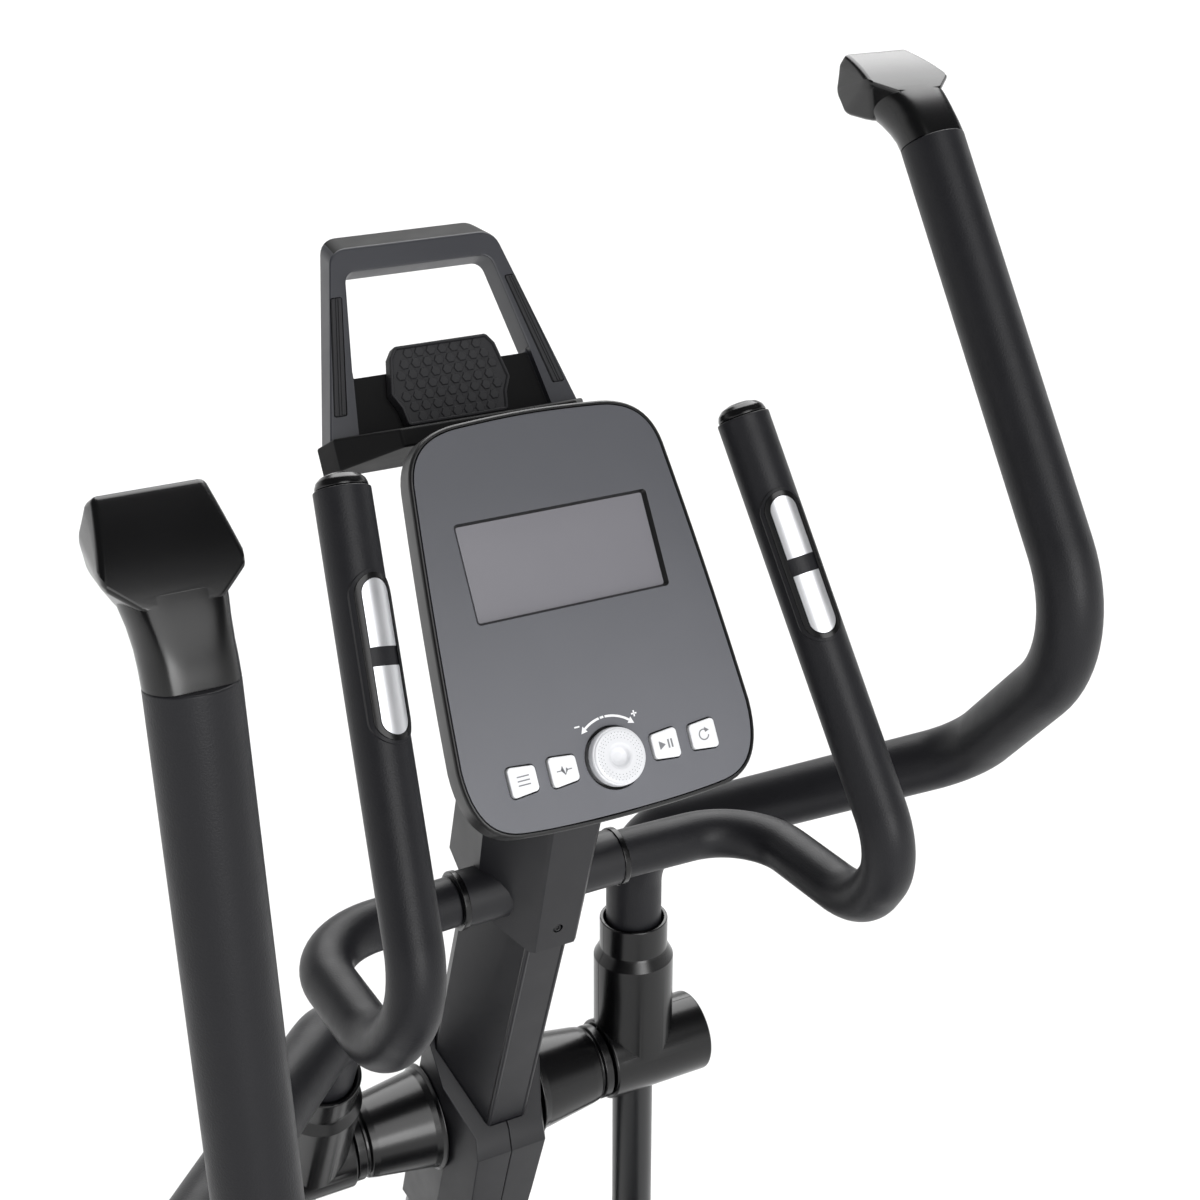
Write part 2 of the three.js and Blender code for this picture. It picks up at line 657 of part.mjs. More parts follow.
function consoleFace() {
  const settings = {
    depth: FACE_THICK - 3, bevelEnabled: true, bevelThickness: 1.5, bevelSize: 1.5, bevelOffset: -1.5,
    bevelSegments: 1, curveSegments: 3,
  };
  const plate = new THREE.ExtrudeGeometry(faceShape(), settings).translate(0, 0, 1.5 - FACE_THICK);
  const window = block(
    -DISPLAY.x / 2 - GAP, DISPLAY.x / 2 + GAP, -DISPLAY.y / 2 - GAP, DISPLAY.y / 2 + GAP, -5, 5,
  );
  const keys = BUTTON_X.map((x) => keyAt(keyShape(BUTTON_HALF + 0.5), -KEY_DEPTH - 2, 5, x));
  return cut(plate, window, ...keys, dialRod(DIAL_R + 0.6, -DIAL_DEPTH - 1, 5));
}

function consoleBack() {
  const depth = 34;
  const front = -FACE_THICK - GAP;
  const sections = [
    [0.86, front], [0.84, front - depth * 0.5], [0.7, front - depth],
  ].map(([scale, z]) =>
    faceShape(scale).getPoints(3).slice(1).map((p) => new THREE.Vector3(p.x, p.y, z)));
  return loft(sections);
}

function dial() {
  const profile = [
    [0, -DIAL_DEPTH], [DIAL_R - 2, -DIAL_DEPTH], [DIAL_R - 2, 0.6], [DIAL_R, 0.6],
    [DIAL_R - 0.8, DIAL_PROUD - 2], [DIAL_R - 3, DIAL_PROUD], [9, DIAL_PROUD],
    [7, DIAL_PROUD - 1.5], [0, DIAL_PROUD - 2.5],
  ];
  const points = profile.map(([radius, z]) => new THREE.Vector2(radius, z));
  return new THREE.LatheGeometry(points, 20).rotateX(Math.PI / 2).translate(0, BUTTON_ROW, 0);
}

place(consoleGroup, 'console_face', consoleFace(), faceGrey());
place(consoleGroup, 'console_back', consoleBack(), satinBlack());
place(
  consoleGroup, 'display_window',
  block(-DISPLAY.x / 2, DISPLAY.x / 2, -DISPLAY.y / 2, DISPLAY.y / 2, -5 + GAP, -1.5), displayGrey(),
);
BUTTON_X.forEach((x, i) => {
  place(consoleGroup, BUTTON_NAMES[i], keyAt(keyShape(BUTTON_HALF), -KEY_DEPTH, KEY_PROUD, x), keyWhite());
});
place(consoleGroup, 'dial', dial(), keyWhite());

// ---------------------------------------------------------------- tablet holder
const HOLDER_THICK = 20;
const SHELF = [92, 113]; // the shelf's lower and upper faces, up the console's face

function holderFrame() {
  const foot = SHELF[1] - 1;
  const outer = outline([[-90, foot], [90, foot], [60, 232], [50, 244], [-50, 244], [-60, 232]]);
  const frame = upright(outer, HOLDER_BACK - HOLDER_THICK, HOLDER_BACK);
  const sill = SHELF[1] + 22;
  const inner = outline([[-64, sill], [64, sill], [43, 222], [36, 228], [-36, 228], [-43, 222]]);
  const opening = upright(inner, HOLDER_BACK - HOLDER_THICK - 5, HOLDER_BACK + 5);
  const lowOpening = block(-60, 60, SHELF[1] + 0.01, SHELF[1] + 24, HOLDER_BACK - 6, HOLDER_BACK + 5);
  const back = HOLDER_BACK - HOLDER_THICK;
  const shelf = loft([
    [[-94, back], [94, back], [90, HOLDER_BACK + 6], [62, -55], [-62, -55], [-90, HOLDER_BACK + 6]],
  ].flatMap((ring) => SHELF.map((y) => ring.map(([x, z]) => new THREE.Vector3(x, y, z)))));
  const strips = [-1, 1].map((side) => stripBlock(side, 0.4, 3));
  const lug = block(-40, 40, 60, SHELF[0] + 1, -75, -60);
  return cut(join(frame, shelf, lug), opening, lowOpening, ...strips);
}

// The rubber strips follow the legs, which close in towards the top.
function stripBlock(side, grow, depth) {
  const shape = outline([
    [side * (72.5 - grow), 138 - grow], [side * (81 + grow), 138 - grow],
    [side * (60.8 + grow), 213 + grow], [side * (52.3 - grow), 213 + grow],
  ]);
  return upright(shape, HOLDER_BACK - depth, HOLDER_BACK + 1);
}

function phonePad() {
  const low = SHELF[1] + GAP + 0.3;
  const shape = outline([
    [-36, low], [36, low], [38, 126], [43, 136], [38, 160], [33, 167], [-33, 167], [-38, 160], [-43, 136],
    [-38, 126],
  ]);
  return upright(shape, HOLDER_BACK - 5.5, HOLDER_BACK + 4.5);
}

place(consoleGroup, 'tablet_holder', holderFrame(), satinBlack());
place(consoleGroup, 'phone_pad', phonePad(), rubber());
placePair({ right: consoleGroup, left: consoleGroup }, 'holder_strip', stripBlock(1, 0, 2.6), rubber);

// ---------------------------------------------------------------- swing arms
const arms = { right: new THREE.Group(), left: new THREE.Group() };
arms.left.rotation.x = SWING; // the left arm is at the forward end of its travel
axleLevel.add(arms.right, arms.left);

const HUB_R = 22;
const ARM_TUBE_R = 16;
const SOCKET_TOP = 124;
const BOLT_R = 6;
const BUSH_HALF = 21.5;

function armHub() {
  const sleeve = rodX(HUB_R, ARM_X - 27, ARM_X + 49);
  const tube = rodZ(ARM_TUBE_R, -LOWER_ARM, SOCKET_TOP - 4, ARM_X);
  const bush = rodX(HUB_R, ARM_X - BUSH_HALF, ARM_X + BUSH_HALF, 0, -LOWER_ARM);
  const bores = [
    rodX(AXLE_R + GAP, ARM_X - 60, ARM_X + 80),
    rodX(BOLT_R + GAP, ARM_X - 60, ARM_X + 60, 0, -LOWER_ARM, 16),
  ];
  return cut(join(sleeve, tube, bush), ...bores);
}

function armCover() {
  const barrel = rodX(32, ARM_X - 30.5, ARM_X + 55);
  const profile = [[0, -5], [31, -5], [31, 90], [27, 97], [26.5, SOCKET_TOP], [0, SOCKET_TOP]];
  const points = profile.map(([radius, z]) => new THREE.Vector2(radius, z));
  const socket = new THREE.LatheGeometry(points, 16).rotateX(Math.PI / 2).translate(ARM_X, 0, 0);
  return cut(
    join(barrel, socket),
    rodX(HUB_R + GAP, ARM_X - 40, ARM_X + 50),
    rodZ(ARM_TUBE_R + 1, -50, SOCKET_TOP + 5, ARM_X),
    rodZ(HANDLE_R + 0.8, SOCKET_TOP - 14, SOCKET_TOP + 5, ARM_X),
  );
}

// The handle rises from its socket, sweeps out and towards the user, and then leans forward.
const HANDLE_POINTS = [
  new THREE.Vector3(ARM_X, 0, SOCKET_TOP - 3.5),
  new THREE.Vector3(ARM_X, 0, 195.7),
  new THREE.Vector3(315.9, -167.6, 300.5),
  new THREE.Vector3(309, -287.9, 431.6),
  HANDLE_TOP,
];
const HANDLE_BENDS = [68, 70, 84]; // bend radii

// How much of each run a bend of the given radius takes up.
const HANDLE_TRIMS = HANDLE_BENDS.map((radius, i) => {
  const before = HANDLE_POINTS[i + 1].clone().sub(HANDLE_POINTS[i]);
  const after = HANDLE_POINTS[i + 2].clone().sub(HANDLE_POINTS[i + 1]);
  return radius * Math.tan(before.angleTo(after) / 2);
});

// The end cap: a round neck that spreads into a six-sided head, bent forward.
// Height, half-width, rear face, front face, and how round the section is.
const CAP_SECTIONS = [
  [GAP, 20.8, -20.8, 20.8, 1],
  [14, 20.5, -17, 19, 0.8],
  [28, 22.5, -11, 20, 0.6],
  [36, 27, -5, 30, 0.4],
  [43, 36, 0, 38, 0.3],
  [58, 36, 8, 39, 0.3],
  [70, 29, 17, 35, 0.3],
  [77, 24, 23, 31, 0.4],
];

function capSection([z, half, rear, front, roundness]) {
  const middle = (rear + front) / 2;
  const depth = (front - rear) / 2;
  const points = [];
  const sides = 16;
  for (let i = 0; i < sides; i += 1) {
    const angle = (2 * Math.PI * (i + 0.5)) / sides;
    const round = new THREE.Vector2(Math.cos(angle), Math.sin(angle));
    const reach = Math.max(Math.abs(round.x), Math.abs(round.y));
    const square = round.clone().divideScalar(reach);
    const point = round.clone().lerp(square, (1 - roundness) * 0.8);
    points.push(new THREE.Vector3(point.x * half, middle + point.y * depth, z));
  }
  return points;
}

function handleCap() {
  const lean = HANDLE_TOP.clone().sub(HANDLE_POINTS[3]);
  const turn = Math.atan2(-lean.y, lean.z);
  const head = loft(CAP_SECTIONS.map(capSection)).rotateX(turn);
  return head.translate(HANDLE_TOP.x, HANDLE_TOP.y, HANDLE_TOP.z);
}

placePair(arms, 'arm_hub', armHub(), paintedSteel);
placePair(arms, 'arm_cover', armCover(), glossBlack);
placePair(arms, 'handle', swept(bentPath(HANDLE_POINTS, HANDLE_TRIMS), HANDLE_R, 0, 10, 28), foam);
placePair(arms, 'handle_cap', handleCap(), glossBlack);

// ---------------------------------------------------------------- rails and pedals
// A rail's own frame: the front joint is the origin and the rail runs towards -Y.
function railGroup(joint, pinY) {
  const group = new THREE.Group();
  group.position.set(0, joint.x, joint.y);
  group.rotation.x = -Math.atan2(CRANK_Z - joint.y, joint.x - pinY);
  ground.add(group);
  return group;
}
const rails = {
  right: railGroup(BACK_JOINT, CRANK_Y - CRANK_R),
  left: railGroup(FRONT_JOINT, CRANK_Y + CRANK_R),
};
const PEDAL_CENTRE = -540; // along the rail
const PEDAL_HALF = 190;
const PEDAL_X = [84, 222];
const RAIL_HALF = 20;
const RAIL_TOP = 24;

function rail() {
  const body = cut(
    block(ARM_X - RAIL_HALF, ARM_X + RAIL_HALF, 10 - RAIL, -50, -RAIL_TOP, RAIL_TOP),
    block(ARM_X - RAIL_HALF + 3, ARM_X + RAIL_HALF - 3, 40 - RAIL, -40, 3 - RAIL_TOP, RAIL_TOP - 3),
    rodZ(4, -RAIL_TOP - 1, 5 - RAIL_TOP, ARM_X, 80 - RAIL, 12), // vent for the weld
  );
  const cheek = (x0, x1) => {
    const shape = new THREE.Shape();
    shape.absarc(0, 0, 20, -Math.PI / 2, Math.PI / 2);
    shape.lineTo(-66, RAIL_TOP - 2);
    shape.lineTo(-66, 2 - RAIL_TOP);
    return sideways(shape, x0, x1, 8);
  };
  const cheeks = [cheek(ARM_X - 29, ARM_X - 23), cheek(ARM_X + 23, ARM_X + 29)];
  const web = block(ARM_X - 29, ARM_X + 29, -66, -52, 2 - RAIL_TOP, RAIL_TOP - 2);
  const bolt = [
    rodX(BOLT_R, ARM_X - 34, ARM_X + 34, 0, 0, 16),
    rodX(10, ARM_X - 34, ARM_X - 28, 0, 0, 12),
    rodX(10, ARM_X + 28, ARM_X + 34, 0, 0, 12),
  ];
  const bush = rodX(RAIL_END_R, ARM_X - 24, ARM_X + 24, -RAIL, 0, 20);
  return join(body, ...cheeks, web, ...bolt, bush);
}

// A foot tray with a raised rim that is higher at the front.
function pedal() {
  const base = RAIL_TOP + GAP;
  const [x0, x1] = PEDAL_X;
  const [rear, front] = [PEDAL_CENTRE - PEDAL_HALF, PEDAL_CENTRE + PEDAL_HALF];
  const round = 22;
  const shape = new THREE.Shape();
  shape.moveTo(x0 + round, rear);
  shape.lineTo(x1 - round, rear);
  shape.quadraticCurveTo(x1, rear, x1, rear + round);
  shape.lineTo(x1, front - round * 2);
  shape.quadraticCurveTo(x1, front, x1 - round * 2, front);
  shape.lineTo(x0 + round, front);
  shape.quadraticCurveTo(x0, front, x0, front - round);
  shape.lineTo(x0, rear + round);
  shape.quadraticCurveTo(x0, rear, x0 + round, rear);
  const tray = upright(shape, base, base + 52, 4);
  const hollow = upright(shape, base + 12, base + 60, 4);
  const middle = new THREE.Vector2((x0 + x1) / 2, PEDAL_CENTRE);
  hollow.translate(-middle.x, -middle.y, 0);
  hollow.scale((x1 - x0 - 12) / (x1 - x0), (2 * PEDAL_HALF - 12) / (2 * PEDAL_HALF), 1);
  hollow.translate(middle.x, middle.y, 0);
  // The rim falls from the front to the heel.
  const above = block(x0 - 20, x1 + 20, -3 * PEDAL_HALF, 60, 0, 80).rotateX(degrees(4.2));
  above.translate(0, front, base + 51);
  return cut(tray, hollow, above);
}

placePair(rails, 'rail', rail(), paintedSteel);
placePair(rails, 'pedal', pedal(), satinBlack);

// ---------------------------------------------------------------- drive
const PULLEY_R = 120;
const SMALL_PULLEY_R = 16;
const PULLEY_X = [34, 46];
const CRANK_ARM_X = [62, 76];
const crank = new THREE.Group();
crank.position.set(0, CRANK_Y, CRANK_Z);
ground.add(crank);

function crankArm() {
  const [x0, x1] = CRANK_ARM_X;
  const shape = new THREE.Shape();
  shape.absarc(0, 0, 25, -Math.PI / 2, Math.PI / 2);
  shape.absarc(-CRANK_R, 0, 19, Math.PI / 2, (3 * Math.PI) / 2);
  const bar = sideways(shape, x0, x1, 8);
  const pin = rodX(12, x1 - 1, ARM_X - 25, -CRANK_R, 0);
  return cut(join(bar, pin), rodX(AXLE_R + GAP, x0 - 5, x1 + 5));
}

function drivePulley() {
  const [x0, x1] = PULLEY_X;
  const profile = [
    [x0, AXLE_R + GAP], [x0, 26], [x0 + 4, 28], [x0 + 4, PULLEY_R - 12], [x0, PULLEY_R - 10],
    [x0, PULLEY_R], [x1, PULLEY_R], [x1, AXLE_R + GAP], [x0, AXLE_R + GAP],
  ];
  return turnedX(profile, 24);
}

const RIM = [-28, -6]; // sides of the flywheel's heavy rim
const RIM_R = 124;

function flywheel() {
  const [left, right] = RIM;
  const web = [left + 6, right - 6];
  const axle = FLYWHEEL_AXLE_R;
  const hub = axle + 12;
  const profile = [
    [-44, 0], [-44, axle], [-30, axle], [web[0], hub], [web[0], 96], [left, 98], [left, RIM_R],
    [right, RIM_R], [right, 98], [web[1], 96], [web[1], hub], [-6, axle], [PULLEY_X[0], axle],
    [PULLEY_X[0], SMALL_PULLEY_R], [PULLEY_X[1], SMALL_PULLEY_R], [PULLEY_X[1], axle], [49, axle],
    [49, 0],
  ];
  return turnedX(profile, 24);
}

// The loop around both pulleys, at a distance outside them.
function beltLoop(away) {
  const run = FLYWHEEL_Y - CRANK_Y;
  const rise = FLYWHEEL_Z - CRANK_Z;
  const tilt = Math.atan2(rise, run);
  const open = Math.acos((PULLEY_R - SMALL_PULLEY_R) / Math.hypot(run, rise));
  const shape = new THREE.Shape();
  shape.absarc(0, 0, PULLEY_R + away, tilt + open, tilt - open + 2 * Math.PI);
  shape.absarc(run, rise, SMALL_PULLEY_R + away, tilt - open, tilt + open);
  return shape;
}

function driveBelt() {
  const shape = beltLoop(4.2);
  shape.holes.push(beltLoop(1.2));
  const loop = sideways(shape, PULLEY_X[0] + 1, PULLEY_X[1] - 1, 16);
  return loop.translate(0, CRANK_Y, CRANK_Z);
}

// A magnet carrier that straddles the flywheel's rim and swings on a pin at its lower end.
function magnetBrake() {
  const [x0, x1] = BRAKE_HALF;
  const wall = 4;
  const sector = (inner, outer, from, to, left, right) => {
    const shape = new THREE.Shape();
    shape.absarc(0, 0, outer, degrees(from), degrees(to), false);
    shape.absarc(0, 0, inner, degrees(to), degrees(from), true);
    return sideways(shape, left, right, 8).translate(0, FLYWHEEL_Y, FLYWHEEL_Z);
  };
  const carrier = sector(RIM_R - 22, RIM_R + 13, -66, -4, x0, x1);
  const slot = sector(RIM_R - 34, RIM_R + 5, -80, 10, x0 + wall, x1 - wall);
  const barrel = rodX(9, x0, x1, BRAKE_HINGE.x, BRAKE_HINGE.y);
  const pinHole = rodX(BRAKE_PIN_R + GAP, x0 - 5, x1 + 5, BRAKE_HINGE.x, BRAKE_HINGE.y, 12);
  return cut(join(cut(carrier, slot), barrel), pinHole);
}

place(crank, 'crank_axle', rodX(AXLE_R, -80, 80), steel());
place(crank, 'crank_arm_R', crankArm(), paintedSteel());
place(crank, 'crank_arm_L', mirrored(crankArm()).rotateX(Math.PI), paintedSteel());
place(crank, 'drive_pulley', drivePulley(), satinBlack());
place(ground, 'drive_belt', driveBelt(), rubber());
place(ground, 'flywheel', flywheel().translate(0, FLYWHEEL_Y, FLYWHEEL_Z), steel());
place(ground, 'magnet_brake', magnetBrake(), paintedSteel());

// ---------------------------------------------------------------- drive covers
const COVER_R = 150;
const COVER_HALF = 54;
const COVER_WALL = 3;
const COVER_FOOT = 78;
const INLET = new THREE.Vector3(40, CRANK_Y - COVER_R, 150);

function coverShape(inset) {
  const r = COVER_R - inset;
  const run = FLYWHEEL_Y - CRANK_Y;
  const rise = FLYWHEEL_Z - CRANK_Z;
  const across = Math.atan2(rise, run) + Math.PI / 2;
  const shape = new THREE.Shape();
  shape.moveTo(CRANK_Y - r, COVER_FOOT + inset);
  shape.lineTo(FLYWHEEL_Y + r, COVER_FOOT + inset);
  shape.absarc(FLYWHEEL_Y, FLYWHEEL_Z, r, 0, across);
  shape.absarc(CRANK_Y, CRANK_Z, r, across, Math.PI);
  return shape;
}

function driveCover() {
  const outer = sideways(coverShape(0), GAP / 2, COVER_HALF, 9);
  const inner = sideways(coverShape(COVER_WALL), -5, COVER_HALF - COVER_WALL, 9);
  const beamWay = block(-60, BEAM_HALF + 1, REAR_FOOT_Y - 200, 500, 0, BEAM_TOP + 1);
  const axleHole = rodX(24, 30, 70, CRANK_Y, CRANK_Z);
  return cut(outer, inner, beamWay, axleHole);
}

const rodY = (radius, y0, y1, x, z, sides = 12) =>
  rodZ(radius, -y1, -y0, 0, 0, sides).rotateX(Math.PI / 2).translate(x, 0, z);

function inlet() {
  const body = join(
    rodY(6, INLET.y - 2, INLET.y + 14, INLET.x, INLET.z),
    rodY(8.5, INLET.y - 3, INLET.y - GAP, INLET.x, INLET.z),
  );
  return cut(body, rodY(3, INLET.y - 5, INLET.y + 10, INLET.x, INLET.z, 12));
}

const inletWay = rodY(6 + GAP, INLET.y - 5, INLET.y + 10, INLET.x, INLET.z);
place(ground, 'drive_cover_R', cut(driveCover(), inletWay), satinBlack());
place(ground, 'drive_cover_L', mirrored(driveCover()), satinBlack());
place(ground, 'power_inlet', inlet(), satinBlack());

export default trainer;
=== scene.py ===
"""The looks of an elliptical trainer (cross trainer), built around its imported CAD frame.

Lengths are millimetres unless a name says otherwise. Each piece is drawn in the frame of what it
belongs to (the arm axle, an arm, the console, a grip) and scaled to metres as it is placed.
"""

import json
import math

import bmesh
import bpy
from mathutils import Matrix, Vector
from mathutils.geometry import tessellate_polygon

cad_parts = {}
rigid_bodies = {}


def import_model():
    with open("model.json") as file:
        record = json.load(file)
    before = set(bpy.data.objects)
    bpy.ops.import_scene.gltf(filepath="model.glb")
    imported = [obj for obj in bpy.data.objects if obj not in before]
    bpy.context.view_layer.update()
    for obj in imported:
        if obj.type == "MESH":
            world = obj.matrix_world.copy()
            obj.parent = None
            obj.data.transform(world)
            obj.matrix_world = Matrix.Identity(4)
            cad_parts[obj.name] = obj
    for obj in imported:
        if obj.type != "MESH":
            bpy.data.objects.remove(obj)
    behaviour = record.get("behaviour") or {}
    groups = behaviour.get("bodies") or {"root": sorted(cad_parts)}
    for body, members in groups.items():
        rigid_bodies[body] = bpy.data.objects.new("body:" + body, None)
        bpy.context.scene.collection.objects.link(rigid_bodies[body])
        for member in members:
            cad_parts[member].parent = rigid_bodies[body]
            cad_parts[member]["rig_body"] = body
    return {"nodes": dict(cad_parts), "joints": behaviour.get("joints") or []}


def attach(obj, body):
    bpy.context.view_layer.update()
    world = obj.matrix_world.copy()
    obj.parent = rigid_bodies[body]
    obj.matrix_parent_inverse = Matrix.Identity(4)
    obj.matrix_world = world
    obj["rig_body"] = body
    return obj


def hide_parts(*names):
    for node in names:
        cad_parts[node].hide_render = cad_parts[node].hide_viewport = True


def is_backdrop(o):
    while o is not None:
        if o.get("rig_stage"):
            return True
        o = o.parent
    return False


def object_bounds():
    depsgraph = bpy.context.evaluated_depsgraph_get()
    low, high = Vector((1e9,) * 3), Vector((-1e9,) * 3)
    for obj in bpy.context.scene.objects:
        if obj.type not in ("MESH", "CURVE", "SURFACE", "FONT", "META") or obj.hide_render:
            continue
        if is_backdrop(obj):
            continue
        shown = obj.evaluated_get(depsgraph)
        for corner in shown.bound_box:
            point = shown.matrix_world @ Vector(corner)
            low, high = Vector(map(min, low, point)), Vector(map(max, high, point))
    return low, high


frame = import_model()
CAD_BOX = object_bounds()

# ---------------------------------------------------------------- places
MM = Matrix.Scale(0.001, 4)
MIRROR = Matrix.Diagonal((-1, 1, 1, 1))
JOINTS = {joint["name"]: joint for joint in frame["joints"]}


def at(point):
    """A move by a vector."""
    return Matrix.Translation(Vector(point))


def turn(degrees, axis):
    """A rotation about an axis."""
    return Matrix.Rotation(math.radians(degrees), 4, axis)


AXLE_POINT = Vector(JOINTS["arm_R_swing"]["pos_m"])
AXLE = at(AXLE_POINT) @ MM
SIDES = {"R": AXLE, "L": AXLE @ MIRROR}
SWING = 26.7  # degrees from the right arm to the left one
ARMS = {"R": AXLE, "L": AXLE @ turn(SWING, "X") @ MIRROR}
FACE_LEAN = 30.7  # degrees from upright
FACE_CENTRE = (0, -155, 507.7)
CONSOLE = AXLE @ at(FACE_CENTRE) @ turn(90 - FACE_LEAN, "X")
# Swaps the second and third axes, for outlines drawn on the shelf.
FLAT = Matrix(((1, 0, 0, 0), (0, 0, 1, 0), (0, 1, 0, 0), (0, 0, 0, 1)))

# ---------------------------------------------------------------- driving dimensions
ARM_X = 139  # from the middle plane to an arm's tube
LOWER_ARM = 650  # from the axle down to the joint with the rail
HANDLE_R = 21.35  # outside of the foam on a moving handle
HANDLE_BENDS = [68, 70, 84]  # radii
HANDLE_TOP = Vector((308.5, -91.4, 718.2))
HANDLE_POINTS = [
    Vector((ARM_X, 0, 113)),
    Vector((ARM_X, 0, 195.7)),
    Vector((315.9, -167.6, 300.5)),
    Vector((309, -287.9, 431.6)),
    HANDLE_TOP,
]
BAR_Y = -112.3  # the fixed handlebar's line through the neck
BAR_Z = 257.9
SLEEVE_X = 62  # where the neck's bosses end
GRIP_R = 17  # outside of the foam on a fixed grip
GRIP_TIP = Vector((135.4, -140.6, 569.8))
GRIP_POINTS = [
    Vector((SLEEVE_X + 1, BAR_Y, BAR_Z)),
    Vector((167.5, -114.5, 256.5)),
    Vector((169.7, -249.4, 260.4)),
    Vector((162, -292.7, 319.5)),
    GRIP_TIP,
]
GRIP_TRIMS = [50, 30, 33]  # how much of the straight run each bend takes up
FACE_THICK = 18
BUTTON_ROW = -126  # the keys and the dial, from the face's centre
HOLDER_FRONT = -107  # the tablet holder's front, behind the face
HOLDER_THICK = 20
SHELF_TOP = 113  # the holder's shelf, from the face's centre


# ---------------------------------------------------------------- outlines and paths
STRAIGHT = 0.02  # radians, below which a bend is left as it is
RUN_SHARE = 0.48  # the most that one bend takes up of a straight run


def rounded(points, radii, steps=8, closed=False):
    """The points joined by straight runs, with an arc at each corner."""
    points = [Vector(p).to_3d() for p in points]
    count = len(points)
    if not isinstance(radii, (list, tuple)):
        radii = [radii] * count
    elif not closed:
        radii = [0, *radii, 0]
    made = []
    for i, corner in enumerate(points):
        if radii[i] == 0 or (not closed and i in (0, count - 1)):
            made.append(corner)
            continue
        back = points[i - 1] - corner
        ahead = points[(i + 1) % count] - corner
        bend = (math.pi - back.angle(ahead)) / 2
        if bend < STRAIGHT:
            made.append(corner)
            continue
        longest = RUN_SHARE * min(back.length, ahead.length)
        trim = min(radii[i] * math.tan(bend), longest)
        radius = trim / math.tan(bend)
        middle = (back.normalized() + ahead.normalized()).normalized()
        centre = corner + middle * (radius / math.cos(bend))
        start = (corner + back.normalized() * trim - centre).normalized()
        end = (corner + ahead.normalized() * trim - centre).normalized()
        made += [centre + radius * start.slerp(end, k / steps) for k in range(steps + 1)]
    return made


def outline(points, radius=0, steps=6):
    """A closed flat loop with rounded corners."""
    return [p.xy for p in rounded(points, radius, steps, closed=True)]


def both(points):
    """The right half of an outline, then its mirror image on the left."""
    return [*points, *[(-x, y) for x, y in reversed(points)]]


def inset(loop, distance):
    """The loop moved to its left."""
    count = len(loop)
    moved = []
    for i, point in enumerate(loop):
        before = (point - loop[i - 1]).normalized()
        after = (loop[(i + 1) % count] - point).normalized()
        a = Vector((-before.y, before.x))
        b = Vector((-after.y, after.x))
        moved.append(point + (a + b) * (distance / (1 + a.dot(b))))
    return moved


def anticlockwise(loop):
    """The loop, turned round if it runs clockwise."""
    area = sum(a.x * b.y - b.x * a.y for a, b in zip(loop, [*loop[1:], loop[0]]))
    return loop if area > 0 else loop[::-1]


def arc(centre, radius, start, end, steps=16):
    """Points on an arc between two angles in degrees."""
    x, y = centre
    turns = [math.radians(start + (end - start) * k / steps) for k in range(steps + 1)]
    return [Vector((x + radius * math.cos(t), y + radius * math.sin(t))) for t in turns]


def ribbon(points, width):
    """The outline of a stroke of even width along an open line."""
    points = [Vector(p) for p in points]
    left = []
    right = []
    for i, point in enumerate(points):
        run = points[min(i + 1, len(points) - 1)] - points[max(i - 1, 0)]
        side = Vector((-run.y, run.x)).normalized() * width / 2
        left.append(point + side)
        right.append(point - side)
    return left + right[::-1]


# ---------------------------------------------------------------- mesh work
def skin(rings, closed=False):
    """A closed mesh over rings of points. A ring of one point is a tip."""
    bm = bmesh.new()
    made = [[bm.verts.new(p) for p in ring] for ring in rings]
    pairs = list(zip(made, made[1:]))
    if closed:
        pairs.append((made[-1], made[0]))
    for low, high in pairs:
        count = max(len(low), len(high))
        for i in range(count):
            j = (i + 1) % count
            near = [low[i % len(low)], low[j % len(low)]]
            far = [high[j % len(high)], high[i % len(high)]]
            corners = list(dict.fromkeys(near + far))
            if len(corners) > 2:
                bm.faces.new(corners)
    if not closed:
        for ring in (made[0], made[-1]):
            if len(ring) > 2:
                bm.faces.new(ring)
    return bm


ON_AXIS = 1e-4  # a radius that counts as none


def turned(profile, soft=0.8, sides=96, closed=False, along_x=False):
    """A turned piece from (radius, height) pairs, with softened corners."""
    line = rounded(profile, soft, 3, closed)
    rings = []
    for radius, height, _ in line:
        if radius < ON_AXIS:
            rings.append([Vector((0, 0, height))])
            continue
        angles = [2 * math.pi * i / sides for i in range(sides)]
        rings.append([Vector((radius * math.cos(a), radius * math.sin(a), height)) for a in angles])
    bm = skin(rings, closed)
    if along_x:
        bm.transform(turn(90, "Y"))
    return bm


def bar(path, radius, edge=2, sides=64):
    """A round bar along a path, with softened ends."""
    first = (path[1] - path[0]).normalized()
    last = (path[-2] - path[-1]).normalized()
    lip = []
    lip_steps = 4
    for k in range(lip_steps + 1):
        angle = math.pi / 2 * k / lip_steps
        lip.append((edge * (1 - math.cos(angle)), radius - edge + edge * math.sin(angle)))
    points = [path[0] + first * d for d, _ in lip] + path[1:-1]
    points += [path[-1] + last * d for d, _ in reversed(lip)]
    lip_radii = [r for _, r in lip]
    radii = lip_radii + [radius] * (len(path) - 2) + lip_radii[::-1]
    rings = []
    side = first.orthogonal().normalized()
    for i, point in enumerate(points):
        ahead = (points[min(i + 1, len(points) - 1)] - points[max(i - 1, 0)]).normalized()
        side = (side - ahead * side.dot(ahead)).normalized()
        up = ahead.cross(side)
        angles = [2 * math.pi * k / sides for k in range(sides)]
        rings.append([point + radii[i] * (side * math.cos(a) + up * math.sin(a)) for a in angles])
    return skin(rings)


